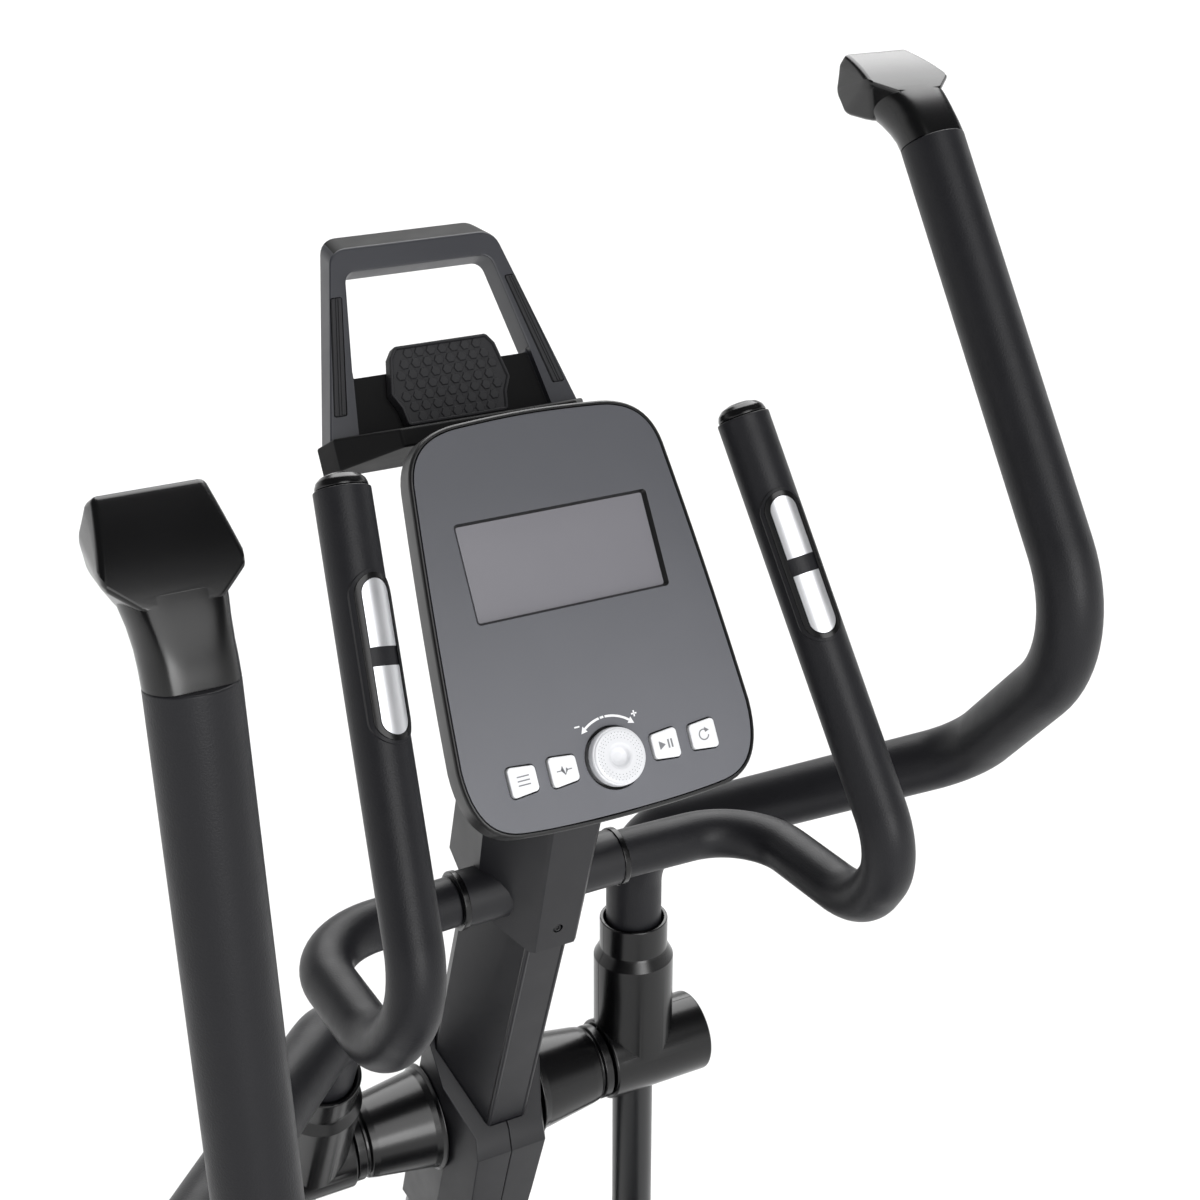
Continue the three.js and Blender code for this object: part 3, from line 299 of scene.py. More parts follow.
def edge_profile(low, high, edge, steps=3):
    """(inset, height) pairs up the side of a plate whose edges are rounded."""
    turns = [math.pi / 2 * k / steps for k in range(steps + 1)]
    bottom = [(edge * (1 - math.sin(t)), low + edge * (1 - math.cos(t))) for t in turns]
    top = [(edge * (1 - math.cos(t)), high - edge * (1 - math.sin(t))) for t in turns]
    return bottom + top


def plate(loop, profile, holes=()):
    """A flat plate, with holes, whose side follows (inset, height) pairs."""
    bm = bmesh.new()
    loops = [anticlockwise(loop)] + [anticlockwise(hole)[::-1] for hole in holes]
    walls = []
    for each in loops:
        walls.append([[bm.verts.new((p.x, p.y, z)) for p in inset(each, d)] for d, z in profile])
    for wall in walls:
        for low, high in zip(wall, wall[1:]):
            for i in range(len(low)):
                j = (i + 1) % len(low)
                bm.faces.new((low[i], low[j], high[j], high[i]))
    for end in (0, -1):
        corners = [v for wall in walls for v in wall[end]]
        for triple in tessellate_polygon([[v.co for v in wall[end]] for wall in walls]):
            bm.faces.new([corners[k] for k in triple])
    return bm


def combine(body, tool, how):
    """The union, difference or intersection of two closed meshes."""
    solids = []
    for bm in (body, tool):
        bmesh.ops.recalc_face_normals(bm, faces=bm.faces)
        mesh = bpy.data.meshes.new("solid")
        bm.to_mesh(mesh)
        bm.free()
        solids.append(bpy.data.objects.new("solid", mesh))
        bpy.context.scene.collection.objects.link(solids[-1])
    modifier = solids[0].modifiers.new("solid", "BOOLEAN")
    modifier.object = solids[1]
    modifier.operation = how
    modifier.solver = "EXACT"
    made = bmesh.new()
    made.from_object(solids[0], bpy.context.evaluated_depsgraph_get())
    for solid in solids:
        bpy.data.objects.remove(solid)
    return made


FLAT_ANGLE = math.radians(1)  # faces that meet within this count as one flat face


def soften(bm, edge, angle=30, segments=3, clamp=True):
    """Rounds every edge sharper than an angle."""
    bmesh.ops.remove_doubles(bm, verts=bm.verts, dist=edge * 0.01)
    bmesh.ops.dissolve_limit(bm, angle_limit=FLAT_ANGLE, verts=bm.verts, edges=bm.edges)
    limit = math.radians(angle)
    sharp = [e for e in bm.edges if len(e.link_faces) == 2 and e.calc_face_angle(0) > limit]
    bmesh.ops.bevel(
        bm, geom=sharp, offset=edge, offset_type="OFFSET", segments=segments, profile=0.5,
        affect="EDGES", clamp_overlap=clamp,
    )
    return bm


def box(low, high):
    """A plain block between two corners, used only as a cutting tool."""
    bm = bmesh.new()
    bmesh.ops.create_cube(bm, size=1)
    low, high = Vector(low), Vector(high)
    bm.transform(at((low + high) / 2) @ Matrix.Diagonal((*(high - low), 1)))
    return bm


def joined(meshes):
    """Several closed meshes as one."""
    whole = bmesh.new()
    for bm in meshes:
        part = bpy.data.meshes.new("part")
        bm.to_mesh(part)
        bm.free()
        whole.from_mesh(part)
        bpy.data.meshes.remove(part)
    return whole


# ---------------------------------------------------------------- materials
def linear(code):
    """A colour written as #rrggbb, as the shader's linear values."""
    channels = [int(code[i:i + 2], 16) / 255 for i in (1, 3, 5)]
    return [c / 12.92 if c <= 0.04045 else ((c + 0.055) / 1.055) ** 2.4 for c in channels]


def surface(
    name, colour, roughness, metallic=0.0, specular=0.5, spread=0.12, patch=60, grain=0.8,
    bump=0.1, depth=0.2, uneven=0.06, stretch=(1, 1, 1), coat=0.0, painted_shade=None,
):
    """A finish whose colour drifts between two shades, with uneven gloss and a fine grain.

    Patch and grain are the sizes of the drift and of the grain, and depth is the grain's
    height. The last argument, if given, is painted shade: a second colour that the first turns
    into from one height to another.
    """
    material = bpy.data.materials.new(name)
    material.use_nodes = True
    nodes = material.node_tree.nodes
    links = material.node_tree.links
    shader = nodes["Principled BSDF"]
    shader.inputs["Metallic"].default_value = metallic
    shader.inputs["Specular IOR Level"].default_value = specular
    shader.inputs["Coat Weight"].default_value = coat
    shader.inputs["Coat Roughness"].default_value = 0.12
    place = nodes.new("ShaderNodeTexCoord")
    mapping = nodes.new("ShaderNodeMapping")
    mapping.inputs["Scale"].default_value = stretch
    links.new(place.outputs["Object"], mapping.inputs["Vector"])

    def noise(size, detail):
        node = nodes.new("ShaderNodeTexNoise")
        node.inputs["Scale"].default_value = 1000 / size
        node.inputs["Detail"].default_value = detail
        links.new(mapping.outputs["Vector"], node.inputs["Vector"])
        return node.outputs["Fac"]

    def shades(code):
        base = linear(code)
        mix = nodes.new("ShaderNodeMix")
        mix.data_type = "RGBA"
        mix.inputs["A"].default_value = [*[c * (1 - spread) for c in base], 1]
        mix.inputs["B"].default_value = [*[min(1, c * (1 + spread)) for c in base], 1]
        links.new(drift, mix.inputs["Factor"])
        return mix.outputs["Result"]

    drift = noise(patch, 4)
    shade = shades(colour)
    if painted_shade:
        other, low, high = painted_shade
        apart = nodes.new("ShaderNodeSeparateXYZ")
        links.new(place.outputs["Object"], apart.inputs["Vector"])
        rise = nodes.new("ShaderNodeMapRange")
        rise.interpolation_type = "SMOOTHSTEP"
        rise.inputs["From Min"].default_value = low
        rise.inputs["From Max"].default_value = high
        links.new(apart.outputs["Z"], rise.inputs["Value"])
        mix = nodes.new("ShaderNodeMix")
        mix.data_type = "RGBA"
        links.new(rise.outputs["Result"], mix.inputs["Factor"])
        links.new(shade, mix.inputs["A"])
        links.new(shades(other), mix.inputs["B"])
        shade = mix.outputs["Result"]
    links.new(shade, shader.inputs["Base Color"])
    gloss = nodes.new("ShaderNodeMapRange")
    gloss.inputs["To Min"].default_value = max(0.02, roughness - uneven)
    gloss.inputs["To Max"].default_value = min(1, roughness + uneven)
    links.new(noise(patch / 3, 3), gloss.inputs["Value"])
    links.new(gloss.outputs["Result"], shader.inputs["Roughness"])
    relief = nodes.new("ShaderNodeBump")
    relief.inputs["Strength"].default_value = bump
    relief.inputs["Distance"].default_value = depth / 1000
    links.new(noise(grain, 2), relief.inputs["Height"])
    links.new(relief.outputs["Normal"], shader.inputs["Normal"])
    return material


# The ends of the console's face, between which its panel turns darker towards the top:
# painted shade, for the light that falls off up the face.
FACE_BOTTOM = -162
FACE_TOP = 93
FACE_LOW = CONSOLE @ Vector((0, FACE_BOTTOM, 0))
FACE_HIGH = CONSOLE @ Vector((0, FACE_TOP, 0))
FINISH = {
    "foam": surface(
        "foam", "#1b1b1e", 0.42, specular=0.24, spread=0.16, patch=35, grain=1.1, bump=0.5, depth=0.3,
        uneven=0.07,
    ),
    "satin": surface(
        "satin_plastic", "#19191c", 0.4, specular=0.36, grain=0.7, bump=0.22, depth=0.12,
    ),
    "holder": surface(
        "holder_plastic", "#303136", 0.4, specular=0.4, grain=0.7, bump=0.22, depth=0.12,
    ),
    "gloss": surface(
        "gloss_plastic", "#040405", 0.24, specular=0.45, grain=6, bump=0.05, depth=0.2, uneven=0.03,
        patch=90,
    ),
    "paint": surface(
        "painted_steel", "#101113", 0.3, specular=0.5, grain=1.6, bump=0.12, depth=0.15, uneven=0.05,
    ),
    "rubber": surface("rubber", "#1d1d20", 0.62, specular=0.4, grain=0.9, bump=0.35, depth=0.2),
    "steel": surface(
        "turned_steel", "#9a9ca0", 0.32, metallic=1.0, grain=0.5, bump=0.15, depth=0.05,
        stretch=(0.1, 1, 1), uneven=0.1,
    ),
    "chrome": surface(
        "polished_chrome", "#e4e5e8", 0.36, metallic=1.0, spread=0.04, grain=4, bump=0.03, depth=0.1,
        uneven=0.04,
    ),
    # The face panel darkens towards its top: painted shade.
    "face": surface(
        "face_panel", "#696a6f", 0.4, specular=0.4, spread=0.04, grain=0.6, bump=0.18, depth=0.08,
        painted_shade=("#4c4d52", FACE_LOW.z, FACE_HIGH.z),
    ),
    "display": surface(
        "display_pane", "#77767b", 0.2, specular=0.5, spread=0.05, patch=90, grain=8, bump=0.02,
        depth=0.1, uneven=0.03,
    ),
    "key": surface(
        "key_white", "#e9eaec", 0.36, specular=0.5, spread=0.03, grain=1, bump=0.08, depth=0.1,
    ),
    "dial": surface(
        "dial_white", "#dcdde0", 0.3, specular=0.6, spread=0.05, grain=1, bump=0.08, depth=0.1,
    ),
    "white_ink": surface(
        "white_ink", "#f2f2f4", 0.5, spread=0.03, grain=0.6, bump=0.1, depth=0.05,
    ),
    "grey_ink": surface("grey_ink", "#77787c", 0.5, spread=0.05, grain=0.6, bump=0.1, depth=0.05),
    "matt": surface("matt_black", "#0a0a0b", 0.55, specular=0.12, grain=0.8, bump=0.15, depth=0.1),
    "black_gap": surface("dark_frame", "#0c0c0d", 0.38, grain=0.8, bump=0.1, depth=0.1),
}


# ---------------------------------------------------------------- placing pieces
def piece(name, bm, place, body, slot, finish, replaces=(), sharp=38):
    """Puts a mesh in the scene as a piece of the object that rides on a body."""
    bm.transform(place)
    bmesh.ops.recalc_face_normals(bm, faces=bm.faces)
    mesh = bpy.data.meshes.new(name)
    bm.to_mesh(mesh)
    bm.free()
    mesh.shade_smooth()
    mesh.set_sharp_from_angle(angle=math.radians(sharp))
    mesh.materials.append(FINISH[finish])
    obj = bpy.data.objects.new(name, mesh)
    bpy.context.scene.collection.objects.link(obj)
    normals = obj.modifiers.new("normals", "WEIGHTED_NORMAL")
    normals.keep_sharp = True
    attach(obj, body)
    if replaces:
        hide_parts(*replaces)
    return obj


def polished(node, edge, slot, finish, angle=30):
    """A finer copy of a CAD node, with every hard edge rounded."""
    source = frame["nodes"][node]
    bm = bmesh.new()
    bm.from_mesh(source.data)
    soften(bm, edge / 1000, angle)
    return piece(f"{node}_skin", bm, Matrix.Identity(4), source["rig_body"], slot, finish, [node])


# ---------------------------------------------------------------- swing arms
def tee():
    """The cover where an arm meets the axle: a barrel and a socket, in two halves."""
    barrel = turned([
        (0, 108.5), (32, 108.5), (32, 194), (27, 194), (26, 192.6), (24.5, 192.6), (23.5, 194),
        (0, 195),
    ], 2, 128, along_x=True)
    socket = turned([
        (0, -5), (31, -5), (31, 90), (27, 97.5), (26.3, 99), (26.3, 124), (23, 124), (22.6, 112),
        (0, 112),
    ], 1.2, 128)
    socket.transform(at((ARM_X, 0, 0)))
    whole = combine(barrel, socket, "UNION")
    seam = 0.25  # half the groove between the halves
    return combine(whole, box((90, -seam, -60), (210, seam, 160)), "DIFFERENCE")


# Corners of the cap's head, from the cap's foot: half-width, depth (the front is +) and height.
HEAD_CORNERS = [
    (24.5, 28.7, 80), (32.5, 2.6, 46.8), (17, -8, 34.3), (20, 24, 29), (27, 46, 44), (29.5, 47, 60),
    (26.5, 37, 76),
]
HEAD_EDGE = 2.8
HEAD_SLOPE = 0.84  # how fast the head's face leans back before it is curved
# The neck under it: height, half-width of its flat rear face, half-width, middle and front.
NECK_LEVELS = [
    (0.1, 14, 21.3, 0, 21.3), (8, 14.2, 21.3, 1.5, 23), (16, 14.8, 21.3, 4.5, 27),
    (25, 16, 22, 9, 32.5), (33, 17.3, 23.3, 14, 38), (40, 17.5, 24, 18, 41), (46, 17.5, 24, 22, 42),
]
NECK_CORNERS = 14  # the higher, the sharper the corners beside the flat face
NECK_HIDDEN = 41  # above this height the neck is inside the head
CAP_LEAN = HANDLE_TOP - HANDLE_POINTS[3]
ON_HANDLE = at(HANDLE_TOP) @ Matrix.Rotation(math.atan2(-CAP_LEAN.y, CAP_LEAN.z), 4, "X")


def cap_face(height):
    """Depth of the cap's face towards the user, which curves away from the foot to the top."""
    return -15.8 + 0.1 * height + 0.00603 * height**2


def neck_section(height, flat, half, middle, front, sides=96):
    """A round section with one flat face towards the user that has soft corners."""
    proud = 0.1 if height < NECK_HIDDEN else -2
    reach = middle - cap_face(height) + proud
    near = reach / math.cos(math.asin(flat / half))
    ring = []
    for k in range(sides):
        angle = math.tau * k / sides
        depth = near if math.cos(angle) > 0 else front - middle
        over = max(math.cos(angle), 0) * near / reach
        scale = (1 + over**NECK_CORNERS) ** (-1 / NECK_CORNERS)
        x = half * math.sin(angle) * scale
        ring.append(Vector((x, middle - depth * math.cos(angle) * scale, height)))
    return ring


def handle_cap():
    """A faceted head with rounded edges, on a neck whose flat face runs on into the head's."""
    head = bmesh.new()
    for x, y, z in HEAD_CORNERS:
        head.verts.new((x, y, z))
        head.verts.new((-x, y, z))
    bmesh.ops.convex_hull(head, input=head.verts)
    bmesh.ops.dissolve_limit(head, angle_limit=math.radians(6), verts=head.verts, edges=head.edges)
    head = soften(head, HEAD_EDGE, 12, 4, clamp=False)
    # Level cuts let the face follow a curve.
    for height in range(31, 80, 3):
        everything = [*head.verts, *head.edges, *head.faces]
        bmesh.ops.bisect_plane(head, geom=everything, plane_co=(0, 0, height), plane_no=(0, 0, 1))
    _, foot_depth, foot_height = HEAD_CORNERS[2]
    for vertex in head.verts:
        height = max(vertex.co.z, foot_height)
        vertex.co.y += cap_face(height) - (foot_depth + HEAD_SLOPE * (height - foot_height))
    levels = []
    for low, high in zip(NECK_LEVELS, NECK_LEVELS[1:]):
        levels += [tuple(a + (b - a) * t for a, b in zip(low, high)) for t in (0, 0.34, 0.67)]
    neck = skin([neck_section(*level) for level in [*levels, NECK_LEVELS[-1]]])
    return combine(head, neck, "UNION")


def ring_along_x(inner, outer, low, high, soft, sides):
    """A round ring whose axis runs across the trainer."""
    section = [(inner, low), (outer, low), (outer, high), (inner, high)]
    return turned(section, soft, sides, closed=True, along_x=True)


def arm_tube():
    """The tube below the axle, its sleeve inside the cover and the bush at its foot."""
    radius = 16
    foot = -LOWER_ARM + 18
    tube = turned([(0, foot), (radius, foot), (radius, 100), (0, 100)], 0.8, 64)
    tube.transform(at((ARM_X, 0, 0)))
    sleeve = ring_along_x(11, 22, 112, 188, 0.8, 64)
    bush = ring_along_x(6.5, 22, -21.5, 21.5, 1.5, 64)
    bush.transform(at((ARM_X, 0, -LOWER_ARM)))
    weld = turned([(15.5, 19), (18.5, 20.5), (17.5, 24), (15.5, 25)], 1, 64, closed=True)
    weld.transform(at((ARM_X, 0, -LOWER_ARM)))
    return joined([tube, sleeve, bush, weld])


for side, place in ARMS.items():
    body = f"arm_{side}"
    path = rounded(HANDLE_POINTS, HANDLE_BENDS, 16)
    foam = piece(f"handle_{side}_foam", bar(path, HANDLE_R, 1.2), place, body, "foam", "foam",
                 [f"handle_{side}"])
    piece(f"handle_{side}_head", handle_cap(), place @ ON_HANDLE, body, "gloss_black", "gloss",
          [f"handle_cap_{side}"], 26)
    piece(f"arm_{side}_tee", tee(), place, body, "gloss_black", "gloss", [f"arm_cover_{side}"], 30)
    piece(f"arm_{side}_tube", arm_tube(), place, body, "painted_steel", "paint", [f"arm_hub_{side}"])

# ---------------------------------------------------------------- axle covers
COVER_PROFILE = [
    (24, 40.3), (41, 40.3), (41, 41.8), (38.4, 43.6), (37, 48), (30.9, 91), (29.8, 96), (27, 97.2),
    (26.6, 99.6), (29.4, 100.4), (29.4, 106.6), (28, 107.5), (11, 107.5), (11, 94),
]
for side, place in SIDES.items():
    cover = turned(COVER_PROFILE, 0.9, 128, closed=True, along_x=True)
    piece(f"axle_cover_{side}", cover, place, "frame", "gloss_black", "gloss",
          [f"pivot_cover_{side}"], 40)

# ---------------------------------------------------------------- fixed handlebar grips
grip_axis = (GRIP_TIP - GRIP_POINTS[3]).normalized()
across = Vector((1, 0, 0))
across = (across - grip_axis * across.dot(grip_axis)).normalized()
forward = grip_axis.cross(across)
# Z runs up the grip and -Y faces the user.
GRIP_FRAME = at(GRIP_TIP) @ Matrix((across, forward, grip_axis)).transposed().to_4x4()
SENSOR_TURN = -14  # degrees round the grip
SENSOR_TOP = -52  # from the grip's tip
SENSOR_BOTTOM = -148
SENSOR_HALF = 12  # half-width of the bezel
PLATE_HALF = 8.6  # half-width of the plates
BAND = 11  # between the two plates


def bend_radii(points, trims):
    """The bend radius that takes up each trim."""
    radii = []
    for i, trim in enumerate(trims):
        before = points[i + 1] - points[i]
        after = points[i + 2] - points[i + 1]
        radii.append(trim / math.tan(before.angle(after) / 2))
    return radii


def stadium(half, low, high):
    """An upright outline with round ends."""
    return arc((0, high - half), half, 0, 180) + arc((0, low + half), half, 180, 360)


def grip_patch(half, margin, inner, outer, low=None, high=None):
    """A patch of a sleeve round the grip inside a window with round ends."""
    ends = (-165, -35)
    section = [(inner, ends[0]), (outer, ends[0]), (outer, ends[1]), (inner, ends[1])]
    sleeve = turned(section, 0, 160, closed=True)
    loop = stadium(half, SENSOR_BOTTOM + margin, SENSOR_TOP - margin)
    window = plate(loop, [(0, 5), (0, 30)])
    window.transform(turn(90, "X"))
    patch = combine(sleeve, window, "INTERSECT")
    if low is not None:
        wide = 30
        patch = combine(patch, box((-wide, -wide, low), (wide, wide, high)), "INTERSECT")
    return patch


def sensor():
    """(name, mesh, slot, finish, replaced node) of each part of a pulse sensor."""
    lip_width = 1.9
    lip = grip_patch(SENSOR_HALF + lip_width, -lip_width, GRIP_R - 1.5, GRIP_R + 1.3)
    lip = soften(lip, 0.9, 40)
    bezel = grip_patch(SENSOR_HALF, 0, GRIP_R - 1, GRIP_R + 2.3)
    inset_by = SENSOR_HALF - PLATE_HALF - 0.5
    well = grip_patch(SENSOR_HALF - inset_by, inset_by, GRIP_R + 0.9, GRIP_R + 4)
    bezel = soften(combine(bezel, well, "DIFFERENCE"), 0.45, 40)
    middle = (SENSOR_TOP + SENSOR_BOTTOM) / 2
    margin = SENSOR_HALF - PLATE_HALF
    spans = {"upper": (middle + BAND / 2, 0), "lower": (-200, middle - BAND / 2)}
    parts = [
        ("lip", lip, "foam", "foam", None),
        ("bezel", bezel, "gloss_black", "gloss", "pulse_bezel"),
    ]
    for name, (low, high) in spans.items():
        patch = grip_patch(PLATE_HALF, margin, GRIP_R + 0.5, GRIP_R + 2.1, low, high)
        parts.append((name, soften(patch, 0.7, 40), "chrome", "chrome", f"pulse_plate_{name}"))
    return parts


for side, place in SIDES.items():
    path = rounded(GRIP_POINTS, bend_radii(GRIP_POINTS, GRIP_TRIMS), 16)
    foam = piece(f"grip_{side}_foam", bar(path, GRIP_R, 1), place, "frame", "foam", "foam",
                 [f"fixed_grip_{side}"])
    dome_line = [(0, 0.4), (15.7, 0.4), (15.6, 2), (14.5, 5), (11.6, 7.7), (6.6, 9.4), (0, 9.9)]
    dome = turned(dome_line, 3, 96)
    piece(f"grip_{side}_dome", dome, place @ GRIP_FRAME, "frame", "gloss_black", "gloss",
          [f"fixed_grip_cap_{side}"], 50)
    for name, bm, slot, finish, node in sensor():
        stands_for = [f"{node}_{side}"] if node else []
        spot = place @ GRIP_FRAME @ turn(SENSOR_TURN, "Z")
        made = piece(f"sensor_{side}_{name}", bm, spot, "frame", slot, finish, stands_for, 45)
    rim = ring_along_x(17.6, 20.2, 57.5, 61.9, 0.7, 96)
    rim.transform(at((0, BAR_Y, BAR_Z)))
    piece(f"boss_{side}_rim", rim, place, "frame", "gloss_black", "gloss")

# ---------------------------------------------------------------- mast, collar and neck
MAST_LEAN = 0.3625
MAST_REAR = -48.5


def mast_rear(z):
    """Depth of the mast's rear face at a height."""
    return MAST_REAR - MAST_LEAN * z


# How wide the rounding is on the hard edges of each node.
EDGES = {"mast_upper": 2, "mast_collar_R": 4, "mast_collar_L": 4, "neck_cover": 5}
for node, edge in EDGES.items():
    polished(node, edge, "satin_black", "satin")
# A rounded bead runs up each edge of the mast's rear face.
BEAD_X = 13.6
BEAD_R = 2.1
for side, place in SIDES.items():
    ends = [Vector((BEAD_X, mast_rear(z) + 1.7, z)) for z in (-20, 235)]
    bead = bar(ends, BEAD_R, 0.5, 24)
    piece(f"mast_{side}_bead", bead, place, "frame", "satin_black", "satin")
SCREW_POINT = (0, -140.4, 235)
screw_line = [(0, -1.5), (3.3, -1.5), (3.3, 0.6), (2.2, 1.6), (1.4, 1.7), (1.2, 0.4), (0, 0.4)]
piece("neck_screw", turned(screw_line, 0.3, 32), AXLE @ at(SCREW_POINT) @ turn(90, "X"), "frame",
      "painted_steel", "paint")

# ---------------------------------------------------------------- console
# Control point and end of each curve, from the middle of the lower edge to that of the upper.
FACE_CURVES = [
    ((45, FACE_BOTTOM), (70, -159)), ((101, -155), (101, -112)), ((96, -25), (87, 58)),
    ((83, 88), (50, 91)), ((20, FACE_TOP), (0, FACE_TOP)),
]


def face_outline(scale=1, steps=12):
    """The face's outline: narrower at the top, large corners, gently bowed edges."""
    start = Vector((0, FACE_BOTTOM))
    half = [start]
    for control, end in FACE_CURVES:
        control, end = Vector(control), Vector(end)
        for k in range(1, steps + 1):
            t = k / steps
            half.append(start.lerp(control, t).lerp(control.lerp(end, t), t))
        start = end
    whole = half + [Vector((-p.x, p.y)) for p in reversed(half[1:-1])]
    return [p * scale for p in whole]


RIM = 2.5  # width of the rim that shows round the panel
TRAY = -9.6  # bottom of the tray that the panel sits in
shell = plate(face_outline(), [
    (2.2, -FACE_THICK), (0.6, -FACE_THICK + 0.7), (0, -FACE_THICK + 2.2), (0, -2.6), (0.25, -1.4),
    (0.9, -0.4), (1.7, 0), (RIM - 0.3, 0), (RIM, -0.3), (RIM, TRAY),
])
piece("console_shell", shell, CONSOLE, "frame", "satin_black", "black_gap", ["console_face"])

WINDOW = (131.5, 62)  # the opening in the panel
WINDOW_CORNER = 2.4
PANE_SIZE = (127.5, 59.2)  # what shows of the pane inside its sloping frame
DIAL_R = 18.5
DIAL_GAP = 1.1
KEY_GAP = 0.9
KEY_HALF = 9  # half-width of a key
KEY_NEAR = 7.6  # half-height of its side by the dial
KEY_FAR = 9.4
KEY_CORNER = 2.6
KEY_TOP = 2
KEY_FOOT = TRAY + 3.2  # leaves room below for the key's travel


def rectangle(size, radius):
    """A rectangle about the origin with rounded corners."""
    x, y = size[0] / 2, size[1] / 2
    return outline([(x, -y), (x, y), (-x, y), (-x, -y)], radius)


def key_outline(side, centre, grow=0):
    """A key is taller on the side away from the dial."""
    half, near, far = KEY_HALF + grow, KEY_NEAR + grow, KEY_FAR + grow
    inner, outer = side * (centre - half), side * (centre + half)
    corners = [(inner, -near), (outer, -far), (outer, far), (inner, near)]
    return outline([(x, BUTTON_ROW + y) for x, y in corners], KEY_CORNER + grow)


# The side that each key is on, and how far from the middle.
KEYS = {"mode": (-1, 62), "recovery": (-1, 35), "start": (1, 35), "reset": (1, 62)}
openings = [rectangle(WINDOW, WINDOW_CORNER), arc((0, BUTTON_ROW), DIAL_R + DIAL_GAP, 0, 354, 59)]
openings += [key_outline(side, centre, KEY_GAP) for side, centre in KEYS.values()]
panel = plate(inset(face_outline(), RIM + 0.7), edge_profile(TRAY + 0.1, -0.1, 0.35, 2), openings)
piece("console_panel", panel, CONSOLE, "frame", "face_grey", "face")

# The window: a dark sloping frame round the pane.
OPENING = rectangle(WINDOW, WINDOW_CORNER)
PANE = rectangle(PANE_SIZE, 1.6)
frame_rings = []
for loop, z in ((OPENING, -0.15), (PANE, -3.1), (PANE, -3.8), (OPENING, -3.8)):
    frame_rings.append([Vector((p.x, p.y, z)) for p in loop])
piece("display_frame", skin(frame_rings, closed=True), CONSOLE, "frame", "gloss_black", "black_gap")
pane = plate(rectangle((129, 60.6), 2), edge_profile(-4.6, -3.3, 0.2, 2))
piece("display_pane", pane, CONSOLE, "frame", "display", "display", ["display_window"])

# Keys, each with a plain symbol.
INK = [(0, KEY_TOP - 0.02), (0, KEY_TOP + 0.1)]


def stroke(points, width=0.75):
    """A printed line on a key."""
    return plate(ribbon(points, width), INK)


def symbol(name, x):
    """A small generic sign for a key."""
    y = BUTTON_ROW
    if name == "mode":
        return joined([stroke([(x - 4, y + d), (x + 4, y + d)]) for d in (-2.6, 0, 2.6)])
    if name == "recovery":
        beat = [(-5, 0), (-2.2, 0), (-1.2, 2.6), (0.4, -2.8), (1.6, 1.2), (2.3, 0), (5, 0)]
        return stroke([(x + dx, y + dy) for dx, dy in beat], 0.65)
    if name == "start":
        play = plate(outline([(x - 4.6, y - 2.8), (x - 0.2, y), (x - 4.6, y + 2.8)], 0.3), INK)
        stops = [stroke([(x + d, y - 2.7), (x + d, y + 2.7)], 1.1) for d in (1.9, 4.1)]
        return joined([play, *stops])
    ring = stroke(arc((x, y), 3.2, 60, 350, 24), 0.75)
    arrow = [Vector((x + dx, y + dy)) for dx, dy in ((1.1, 1.2), (4.1, 2.2), (1.2, 4.5))]
    return joined([ring, plate(arrow, INK)])


for name, (side, centre) in KEYS.items():
    body = f"{name}_key"
    key = plate(key_outline(side, centre), edge_profile(KEY_FOOT, KEY_TOP, 0.7, 4))
    piece(f"key_{name}", key, CONSOLE, body, "key_white", "key", [f"button_{name}"])
    sign = symbol(name, side * centre)
    piece(f"key_{name}_sign", sign, CONSOLE, body, "satin_black", "grey_ink")

# The dial: a rounded rim, a ring of fine dots and a dimple for a fingertip.
DIAL_TOP = 8.6
dial_line = [
    (0, -9), (16.4, -9), (16.4, 0.7), (18, 1), (18.1, 3), (17.8, 6.4), (17.3, 7.3), (16.8, 7.3),
    (16.2, 8.2), (14.5, DIAL_TOP), (8.2, DIAL_TOP), (6.9, 7.9), (5.4, 6), (3, 5), (0, 4.8),
]
knob = turned(dial_line, 0.7, 128)
dot_line = [
    (0, DIAL_TOP - 0.1), (0.33, DIAL_TOP - 0.1), (0.22, DIAL_TOP + 0.1), (0, DIAL_TOP + 0.14),
]
dots = []
for row, (radius, count) in enumerate(((11.2, 30), (12.8, 36), (14.4, 40))):
    for i in range(count):
        angle = 2 * math.pi * (i + row % 2 / 2) / count
        spot = turned(dot_line, 0, 6)
        spot.transform(at((radius * math.cos(angle), radius * math.sin(angle), 0)))
        dots.append(spot)
ON_DIAL = CONSOLE @ at((0, BUTTON_ROW, 0))
piece("dial_knob", knob, ON_DIAL, "dial", "key_white", "dial", ["dial"], 50)
piece("dial_dots", joined(dots), ON_DIAL, "dial", "key_white", "grey_ink")

# The arrow over the dial, with less on the left and more on the right.
PRINT = [(0, -0.12), (0, 0.06)]
ARROW_R = 25.3
ARROW_HEAD = 2.2  # half the width of an arrow head
ARROW_ENDS = (126, 51)  # degrees
SIGN_Y = -103


def round_dial(radius, angle):
    """A point at a radius and an angle in degrees from the dial's centre."""
    angle = math.radians(angle)
    return Vector((0, BUTTON_ROW)) + radius * Vector((math.cos(angle), math.sin(angle)))


